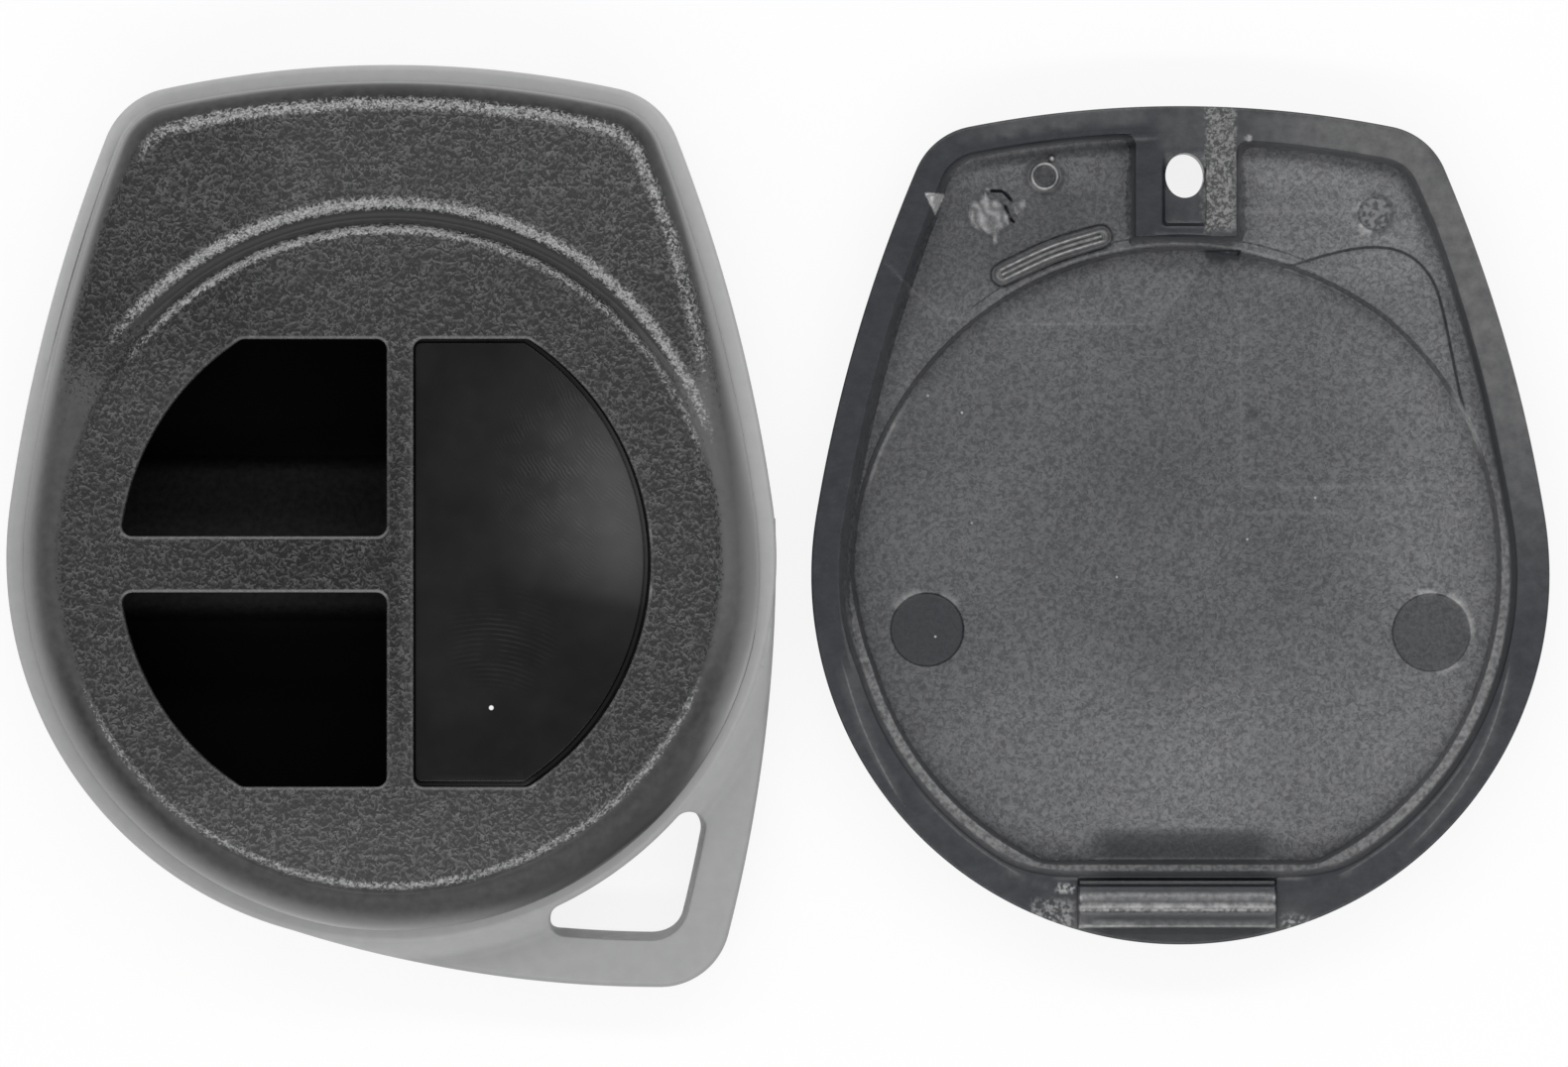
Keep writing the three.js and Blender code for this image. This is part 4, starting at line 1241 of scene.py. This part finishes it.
encircle(rim_edge, hole_line)
encircle(*[ring_at(rear_inset, inset, count=REAR_POINTS) for inset in (0.22, 0.34, 0.5)])
encircle(*[ring_at(rim_inset, inset, POCKET_MIDDLE, INNER_POINTS) for inset in RIM_LINES])
encircle(*[ring_at(pocket_inset, inset, POCKET_MIDDLE, INNER_POINTS) for inset in POCKET_LINES])
level_lines(np.arange(-13.8, -13.1, 0.1), DIP["left"], DIP["right"])
for part in np.linspace(-0.15, 1.1, 9):
    edge = part * BLOCK["draft"]
    follow(*[upright_line(side, *BLOCK["long"]) for side in (BLOCK["low"][0] - edge, BLOCK["high"][0] + edge)])
    follow(level_line(BLOCK["low"][1] - edge, *BLOCK["wide"]))
for height in np.arange(21.4, 23.4, 0.09):
    follow(level_line(height, -3.6, -2.2, 0.09), level_line(height, 2.9, 4.3, 0.09))
for part in np.linspace(-0.1, 1.1, 6):
    well_sides = (WELL["left"] + 0.2 * part, WELL["right"] - 0.05 * part)
    follow(*[upright_line(side, *WELL["long"]) for side in well_sides])
    follow(level_line(WELL["low"] + 0.25 * part, -1.2, 1.5))
    encircle(*[circle_of(mark["r"] - part * mark["edge"], 120, mark["place"]) for mark in EJECTORS])
    follow(along_side(WAVE, (part - 0.5) * WAVE_DRAFT))
    edge = TONGUE["draft"] * part
    follow(*[upright_line(side, *TONGUE["long"]) for side in (TONGUE["left"] + edge, TONGUE["right"] - edge)])
circle_lines(BOSS["place"], 60, BOSS_LINES)
circle_lines(BOSS_NUB["place"], 18, (0.07, 0.14, 0.2))
follow(*[along_side(RIB["line"], aside) for aside in np.linspace(-0.84, 0.84, 29)])
for end in (RIB["line"][0], RIB["line"][-1]):
    circle_lines(end, 40, np.arange(0.1, 0.75, 0.08))
level_lines(np.arange(17.2, 20.7, 0.1), -11.4, -7.9, 0.1)
level_lines((*TONGUE_Y[1:-1], -18.48, -18.1, -17.7, -17.56, -17.2), TONGUE["left"], TONGUE["right"])
for line in WITNESS:
    follow(*[along_side(dense(line), aside) for aside in (-WITNESS_WIDE, 0.0, WITNESS_WIDE)])
for part in np.linspace(-0.1, 1.1, 5):
    step_r = HEAD_STEP["r"] - part * HEAD_STEP["draft"]
    follow(arc(POCKET_MIDDLE, step_r, HEAD_STEP["to"], HEAD_STEP["from"], 160))
level_lines(np.arange(19.0, 20.3, 0.1), -13.6, -12.3, 0.1)
circle_lines(DARK_SPOT, 24, (0.12, 0.26, 0.4))
for place in SPECKS:
    circle_lines(place, 12, (SPECK_R, SPECK_R * 1.6))


def within(inset):
    """The test for points further inside the rear cover's outline than inset and outside the screw hole."""

    def keep(x, y):
        across = (x - SCREW_HOLE["place"][0]) / SCREW_HOLE["wide"]
        off_hole = np.hypot(across, (y - SCREW_HOLE["place"][1]) / SCREW_HOLE["high"]) > 1
        return (rear_inset(x, y) > inset) & off_hole

    return keep


outside_section = [
    *bend(RIM["edge"], RIM["top"] - RIM["edge"], RIM["edge"], 90, 180)[1:],
    (0, 3.0),
    *bend(SHELL_ROUND, SHELL_ROUND, SHELL_ROUND, 180, 270, 14),
]
outside_rings = [lift(rim_edge, rear_height(rim_edge[:, 0], rim_edge[:, 1]))]
outside_rings.extend(lift(ring_at(rear_inset, inset, count=REAR_POINTS), height) for inset, height in outside_section)
rear_skins = [
    relief(lines, within(RIM["edge"]), rear_height, REAR_LATTICE),
    loft(outside_rings),
    relief([(outside_rings[-1][:, :2], True), (hole_line, True)], within(SHELL_ROUND), 0.0),
    loft([lift(hole_line, rear_height(hole_line[:, 0], hole_line[:, 1])), lift(hole_line, 0)]),
]
rear_cover = solid("black_rear_cover", rear_skins, REAR_MIDDLE)

# Places on the finished shape that the finish reads: distances, stretches of the rim, and the two kinds of ground
x, y, z = plan_of(rear_cover, REAR_MIDDLE)
turn, aside = np.arctan2(y, x), np.abs(x)
edge_in, floor_in, pocket_in = rear_inset(x, y), floor_inset(x, y), pocket_inset(x, y)
off_rim = edge_in - by_turn(turn, RIM_WIDTH)
rib_gap = line_gap(RIB["line"], x, y)
gate_in = patch_inset(GATE, x, y)
boss_off = ring_round(BOSS["place"], x, y)
boss_lit = np.cos(np.arctan2(y - BOSS["place"][1], x - BOSS["place"][0]) - 1.0) ** 2
left_mark, right_mark, head_mark = EJECTORS
head_mark_off = ring_round(head_mark["place"], x, y) - head_mark["r"]
left_side = by_turn(turn, {-165: 1, -155: 0, 118: 0, 125: 1})
right_side = by_turn(turn, {-80: 0, -60: 0.5, -40: 1, 35: 1, 55: 0.55, 75: 0.45, 90: 0})
head_left_rim = by_turn(turn, {92: 0, 95: 1, 112: 1, 122: 0})
head_right_rim = by_turn(turn, {46: 0, 54: 1, 84: 1, 89: 0}) * rise(x, 3.1, 0.3)
lower_sides = by_turn(turn, {
    -180: 0, -172: 0.2, -165: 0.45, -135: 0.68, -115: 0.55, -65: 0.5, -45: 0.6, -25: 0.55, -15: 0.4, 5: 0.3, 25: 0,
})
on_tongue = smoothstep(np.minimum(x - TONGUE["left"], TONGUE["right"] - x) / 0.15)
inner = ~((z < 0.7) | ((edge_in < 1.3) & (z < 4.25)))
on_rim = 1 - smoothstep(floor_in / (0.85 * rim_draft(x, y)))
paint(rear_cover, "smooth_rim", np.where(inner, on_rim, 1))

# Painted light and shade on the rim and the floor in each place
rim_light = (
    0.9 * rise(x, -1, 11) * rise(y, -6, 20) + 0.1 * fall(y, 0, 10)
    + 0.55 * fall(y, -16.5, 2) * fall(aside, 8, 3)
    + 0.6 * bell(y, -15.99, 0.1) * fall(aside, 7, 1.0) + 0.11 * in_well(x, y)
    + 0.4 * head_left_rim * fall(edge_in, 0.95, 0.2) * rise(x, -16, 8)
    + 0.33 * left_side * rise(edge_in, 1.36, 0.1) * fall(edge_in, 2.15, 0.2)
    + 0.26 * rise(x, -1.6, 0.8) * fall(x, 1.6, 0.2) * rise(y, 22.3, 0.4)
)
head_right = rise(x, 2, 3) * rise(y, 14, 3)
head_left = fall(x, -3, 3) * rise(y, 14, 3)
wedge = rise(y, 13.3, 0.15) * fall(x, -1.3 + 0.857 * (y - 13.3), 0.15)
floor_light = (
    0.3 + 0.58 * fall(y, -2, 10) * bell(x, 0, 13) + 0.38 * rise(x, 5, 9) + 0.42 * head_right - 0.2 * head_left
    + (0.3 * head_right + 0.35 * head_left) * rise(y, 19.5, 2.0)
    + 0.08 * ripple(x, y, 4) - 0.12 * bell(x, 0.5, 6) * bell(y, 4, 3.5)
    + 0.3 * rise(x, 2.8, 0.1) * fall(x, 3.9, 0.8) * rise(y, 18, 0.5)
    - 0.25 * left_side * fall(edge_in, 3.2, 1.2)
    + 0.35 * head_right_rim * bell(off_rim, 1.2, 0.45)
    + 0.22 * wedge * rise(x, -9, 5) * rise(pocket_in, 0, 0.6)
)
paint(rear_cover, "light", np.where(inner, np.clip(mix(floor_light, rim_light, on_rim), 0, 1), 0.12))


def mark_arc(mark, start, end, wide):
    """A painted highlight on a stretch of an ejector mark's edge, between two angles in degrees."""
    round_mark = np.degrees(np.arctan2(y - mark["place"][1], x - mark["place"][0]))
    on_edge = bell(ring_round(mark["place"], x, y), mark["r"], wide)
    return on_edge * rise(round_mark, start, 8) * fall(round_mark, end, 8)


# Where it is pale: the torn gate, the chip of flash, a fleck, specks, the witness lines and the drag marks
# Painted highlights on the tongue, the ring boss and its nub, the rib and the edges of steps and marks,
# and painted light on the ledge, which is lighter along the lower sides
MARK_ARCS = [
    (0.5, right_mark, -5, 70, 0.09),
    (0.45, right_mark, 78, 112, 0.1),
    (0.3, right_mark, -85, -45, 0.07),
    (0.3, left_mark, 95, 150, 0.08),
    (0.25, left_mark, 35, 70, 0.07),
    (0.5, head_mark, -150, -95, 0.1),
    (0.3, head_mark, 140, 178, 0.09),
]
stem = 0.72 * bell(y, -16.98, 0.17) + 0.98 * (0.75 + 0.25 * ripple(x, y, 0.5)) * bell(y, -17.5, 0.12)
nose_line = bell(y, -18.48, 0.07) * (0.4 + 0.3 * fall(x, -1.5, 2))
nose_line = np.maximum(nose_line, 0.02 * rise(y, -18.5, 0.1) * fall(y, -17.6, 0.1))
gate = smoothstep(gate_in / 0.08) + 0.8 * smoothstep(patch_inset(GATE_WING, x, y) / 0.1)
streaked = 0.6 + 0.4 * np.sin(9 * (x + 0.6 * y) + 2 * ripple(x, y, 0.5))
boss_ring = bell(boss_off, 0.68, 0.12) * (0.25 + 0.75 * boss_lit)
nub = fall(ring_round(BOSS_NUB["place"], x, y), BOSS_NUB["r"], 0.1)
drags = [
    fall(y, line[0][1], 1.5) * rise(y, line[-1][1], 1.5) * bell(line_gap(line, x, y), 0, 0.06)
    for line in WITNESS[-2:]
]
specks = [smoothstep(2.5 * (1.5 - ring_round(place, x, y) / SPECK_R)) for place in SPECKS]
rim_crest = by_turn(turn, {-142: 0, -136: 1, -118: 1, -110: 0, -66: 0, -60: 1, -36: 1, -28: 0})
ledge = rise(floor_in, 0.28, 0.08) * fall(pocket_in, 0.06, 0.08)
torn_and_highlights = [
    on_tongue * np.maximum(stem, nose_line),
    0.5 * gate * streaked,
    smoothstep(patch_inset(FLASH, x, y) / 0.05 + 1),
    fall(rib_gap, RIB["half"] + 0.03, 0.06) * (0.4 + 0.26 * rib_ridges(rib_gap)),
    0.3 * bell(rib_gap, RIB["half"] - 0.03, 0.05),
    0.85 * boss_ring,
    0.8 * nub,
    0.6 * fall(ring_round((3.6, 23.05), x, y), 0.22, 0.1),
    0.9 * by_turn(turn, {21: 0, 25: 1, 31: 1, 35: 0}) * bell(pocket_in, 0.1, 0.1),
    0.4 * by_turn(turn, {146: 0, 152: 1, 160: 1, 167: 0}) * bell(pocket_in, 0.38, 0.1),
    0.2 * by_turn(turn, {62: 0, 75: 1, 110: 1, 130: 0}) * bell(pocket_in, -0.12, 0.06),
    0.12 * head_left_rim * bell(edge_in, 1.7, 0.08),
    0.13 * rim_crest * bell(edge_in, 1.55, 0.06),
    0.32 * lower_sides * ledge,
    *[share * mark_arc(*stretch) for share, *stretch in MARK_ARCS],
    *[
        share * (1 - 0.6 * on_rim) * bell(line_gap(line, x, y), 0, 0.07)
        for share, line in zip(WITNESS_SHARES, WITNESS)
    ],
    *[0.24 * drag for drag in drags],
    *[0.7 * speck for speck in specks],
]
paint(rear_cover, "torn_and_highlights", inner * np.clip(np.max(torn_and_highlights, axis=0), 0, 1))

# Flecks, also as painted highlights on the ledge and the ring boss, and the rough strip beside the screw hole
STRIP = ((1.25, 18.2), (2.98, 24.8))
FLECK_BOXES = [
    (0.6, (5.15, -18.8), (6.9, -17.8), 0.4),
    (0.5, (-8.1, -18.8), (-5.4, -16.9), 0.5),
    (0.8, (-6.6, -16.85), (-5.5, -16.2), 0.2),
]
flecks_and_highlights = [
    0.55 * lower_sides * ledge,
    boss_ring,
    nub,
    0.28 * fall(head_mark_off, 0, 0.2),
    0.9 * on_tongue * bell(y, -17.6, 0.09),
    *[share * smoothstep(box_inset(low, high, x, y) / soft) for share, low, high, soft in FLECK_BOXES],
]
paint(rear_cover, "flecks_and_highlights", inner * np.clip(np.max(flecks_and_highlights, axis=0), 0, 1))
paint(rear_cover, "rough_strip", inner * smoothstep(box_inset(*STRIP, x, y) / 0.12))

# Painted shade in the dip, the marks, the cracks and the notch and along the walls and steps, and a dark spot on the
# floor
CORNER_SHADE = {-180: 0.1, -155: 0.25, -140: 0.7, -115: 1, -65: 1, -45: 0.6, -25: 0.35, 0: 0.2, 180: 0.15}
well_wall = bell(x, -0.86, 0.14) * rise(y, 18.4, 0.2) * fall(y, 20.4, 0.6)
well_foot = bell(y, 18.46, 0.1) * rise(x, -1.0, 0.3) * fall(x, 1.3, 0.3)
shade = [
    0.82 * in_dip(x, y),
    0.72 * by_turn(turn, CORNER_SHADE) * bell(pocket_in, 0.2, 0.35),
    0.7 * bell(head_mark_off, 0, 0.14) * rise(x, head_mark["place"][0] - 0.6, 0.6),
    0.5 * bell(gate_in, -0.1, 0.1),
    0.65 * fall(boss_off, BOSS["bore"] + 0.05, 0.2),
    0.75 * bell(boss_off, 0.97, 0.13) * (1 - 0.6 * boss_lit),
    0.75 * bell(rib_gap, RIB["half"] + 0.07, 0.06),
    smoothstep(box_inset(NOTCH["low"], NOTCH["high"], x, y) / 0.1 + 0.6),
    0.95 * right_side * bell(off_rim, 0.16, 0.16),
    0.4 * right_side * rise(turn, 0, 0.3) * bell(edge_in, 2.2, 0.28),
    0.1 * left_side * bell(edge_in, 1.35, 0.12),
    0.3 * head_left_rim * rise(edge_in, 0.8, 0.2) * fall(edge_in, 1.3, 0.15),
    0.8 * head_left_rim * bell(edge_in, 1.4, 0.1),
    0.75 * head_left_rim * bell(edge_in, 2.02, 0.22),
    0.5 * head_right_rim * rise(off_rim, 0.05, 0.1) * fall(off_rim, 0.85, 0.25),
    0.8 * bell(x, -7.1, 0.7) * bell(y, 22.25, 0.25),
    0.45 * rise(x, 0, 3) * rise(y, 19, 3) * bell(edge_in, 0, 0.22),
    0.55 * bell(y, -16.24, 0.12) * fall(aside, 7.0, 1.0),
    0.55 * np.maximum(well_wall, well_foot),
    mix(0.35, 0.85, rise(x, 5, 6)) * bell(line_gap(WAVE, x, y), 0, 0.1),
    0.8 * bell(ring_round(DARK_SPOT, x, y), 0, 0.3),
    *[mark["shade"] * fall(ring_round(mark["place"], x, y), mark["r"], 0.12) for mark in EJECTORS],
    *[0.9 * smoothstep(1.4 - line_gap(crack, x, y) / CRACK_HALF) for crack in CRACKS],
]
paint(rear_cover, "shade", inner * np.clip(np.max(shade, axis=0), 0, 1))

black_moulded, tree, surface = new_finish("black_moulded_plastic")
smooth_rim, light = painted(tree, "smooth_rim"), painted(tree, "light")
flow = grain_of(tree, 0.24, Detail=4.0, Roughness=0.7, Distortion=0.8)
mottled = spread_of(tree, flow, 0.39, 0.61)
cloudy = spread_of(tree, grain_of(tree, 0.9, Detail=4.0, Roughness=0.65), 0.35, 0.65)
# Shaded and lit copies of the rough floor and the smooth rim, which the painted light blends
floor_shaded = blend(tree, mottled, (0.0205, 0.022, 0.026), (0.0655, 0.067, 0.072))
floor_lit = blend(tree, mottled, (0.0795, 0.0815, 0.0865), (0.1945, 0.197, 0.202))
rim_shaded = blend(tree, cloudy, (0.0092, 0.0115, 0.0165), (0.02, 0.0225, 0.028))
rim_lit = blend(tree, cloudy, (0.08, 0.081, 0.083), (0.13, 0.13, 0.131))
ground = blend(tree, smooth_rim, blend(tree, light, floor_shaded, floor_lit), blend(tree, light, rim_shaded, rim_lit))
strip_grain = spread_of(tree, grain_of(tree, 0.17, Detail=2.5, Distortion=0.6), 0.42, 0.62)
strip_colour = blend(tree, strip_grain, (0.045, 0.046, 0.047), (0.2, 0.2, 0.202))
ground = blend(tree, painted(tree, "rough_strip"), ground, strip_colour)
ground = blend(tree, spread_of(tree, painted(tree, "shade"), 0, 1, 0, 0.88), ground, (0.0065, 0.0085, 0.0125))
# The torn gate, the flash and the specks, and the painted highlights, in one pale colour
torn_grain = spread_of(tree, grain_of(tree, 0.3), 0.3, 0.7)
pale_marks_colour = blend(tree, torn_grain, (0.28, 0.28, 0.283), (0.58, 0.58, 0.58))
ground = blend(tree, painted(tree, "torn_and_highlights"), ground, pale_marks_colour)
fleck_and_highlight = times(tree, painted(tree, "flecks_and_highlights"), spread_of(tree, grain_of(tree, 0.24), 0.42, 0.6))
feed(tree, surface, {
    "Base Color": blend(tree, fleck_and_highlight, ground, (0.4, 0.4, 0.402)),
    "Roughness": spread_of(tree, smooth_rim, 0, 1, 0.46, 0.34),
    "Normal": bump_of(tree, flow, 0.02, Strength=0.8),
})
smooth(rear_cover, black_moulded, 40)
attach(rear_cover, "rear_half")
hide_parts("rear_cover")


# Table, light and camera
# A white table under plain soft light: two strip lights along the head and the foot, and an even sky. The camera
# looks straight down from far off, as the photograph does.

TABLE = {"half": 1.5, "z": -0.00003, "glow": 0.86}
floor_mesh = bpy.data.meshes.new("white_table")
corners = [(TABLE["half"] * across, TABLE["half"] * along) for across, along in ((-1, -1), (1, -1), (1, 1), (-1, 1))]
floor_mesh.from_pydata([(*corner, TABLE["z"]) for corner in corners], [], [(0, 1, 2, 3)])
table = bpy.data.objects.new("white_table", floor_mesh)
bpy.context.collection.objects.link(table)

white_table, tree, surface = new_finish("white_table")
tree.nodes.remove(surface)
rays = put(tree, "ShaderNodeLightPath", {}).outputs
seen = math_of(tree, "MAXIMUM", rays["Is Camera Ray"], rays["Is Glossy Ray"])
seen = math_of(tree, "MAXIMUM", seen, rays["Is Transmission Ray"])
plain = put(tree, "ShaderNodeBsdfDiffuse", {"Color": (0.88, 0.88, 0.88, 1)}).outputs["BSDF"]
glow = put(tree, "ShaderNodeEmission", {"Color": (1, 1, 1, 1), "Strength": 1.0}).outputs["Emission"]
paper = put(tree, "ShaderNodeMixShader", {0: TABLE["glow"], 1: plain, 2: glow}).outputs["Shader"]
mixed = put(tree, "ShaderNodeMixShader", {0: seen, 1: plain, 2: paper}).outputs["Shader"]
feed(tree, tree.nodes["Material Output"], {"Surface": mixed})
floor_mesh.materials.append(white_table)

# The two strips lie along X and face the middle of the table
STRIP_LIGHT = {"long": 1.1, "wide": 0.1, "power": 2.4, "aside": 0.42, "high": 0.7}
for name, side in (("head_strip", 1), ("foot_strip", -1)):
    lamp = bpy.data.lights.new(name, "AREA")
    lamp.shape = "RECTANGLE"
    lamp.size = STRIP_LIGHT["long"]
    lamp.size_y = STRIP_LIGHT["wide"]
    lamp.energy = STRIP_LIGHT["power"]
    strip = bpy.data.objects.new(name, lamp)
    strip.location = (0, side * STRIP_LIGHT["aside"], STRIP_LIGHT["high"])
    strip.rotation_euler = Vector(strip.location).to_track_quat("Z", "Y").to_euler()
    strip.visible_camera = False
    bpy.context.collection.objects.link(strip)

SKY_STRENGTH = 0.62
sky = bpy.data.worlds.new("studio_sky")
bpy.context.scene.world = sky
sky.use_nodes = True
feed(sky.node_tree, sky.node_tree.nodes["Background"], {"Color": (1, 1, 1, 1), "Strength": SKY_STRENGTH})

# The photograph is 1581 pixels wide; on the scale that the round pocket gives it spans 82.7 mm
VIEW_WIDTH = 82.69 * MM
VIEW_MIDDLE = (0.29 * MM, -0.42 * MM)
EYE_HEIGHT = 1.0
FACE_HEIGHT = 4.5 * MM
camera_data = bpy.data.cameras.new("camera")
camera_data.sensor_fit = "HORIZONTAL"
camera_data.lens = camera_data.sensor_width * (EYE_HEIGHT - FACE_HEIGHT) / VIEW_WIDTH
camera = bpy.data.objects.new("camera", camera_data)
camera.location = (*VIEW_MIDDLE, EYE_HEIGHT)
bpy.context.collection.objects.link(camera)
bpy.context.scene.camera = camera
bpy.context.scene.view_settings.view_transform = "Standard"
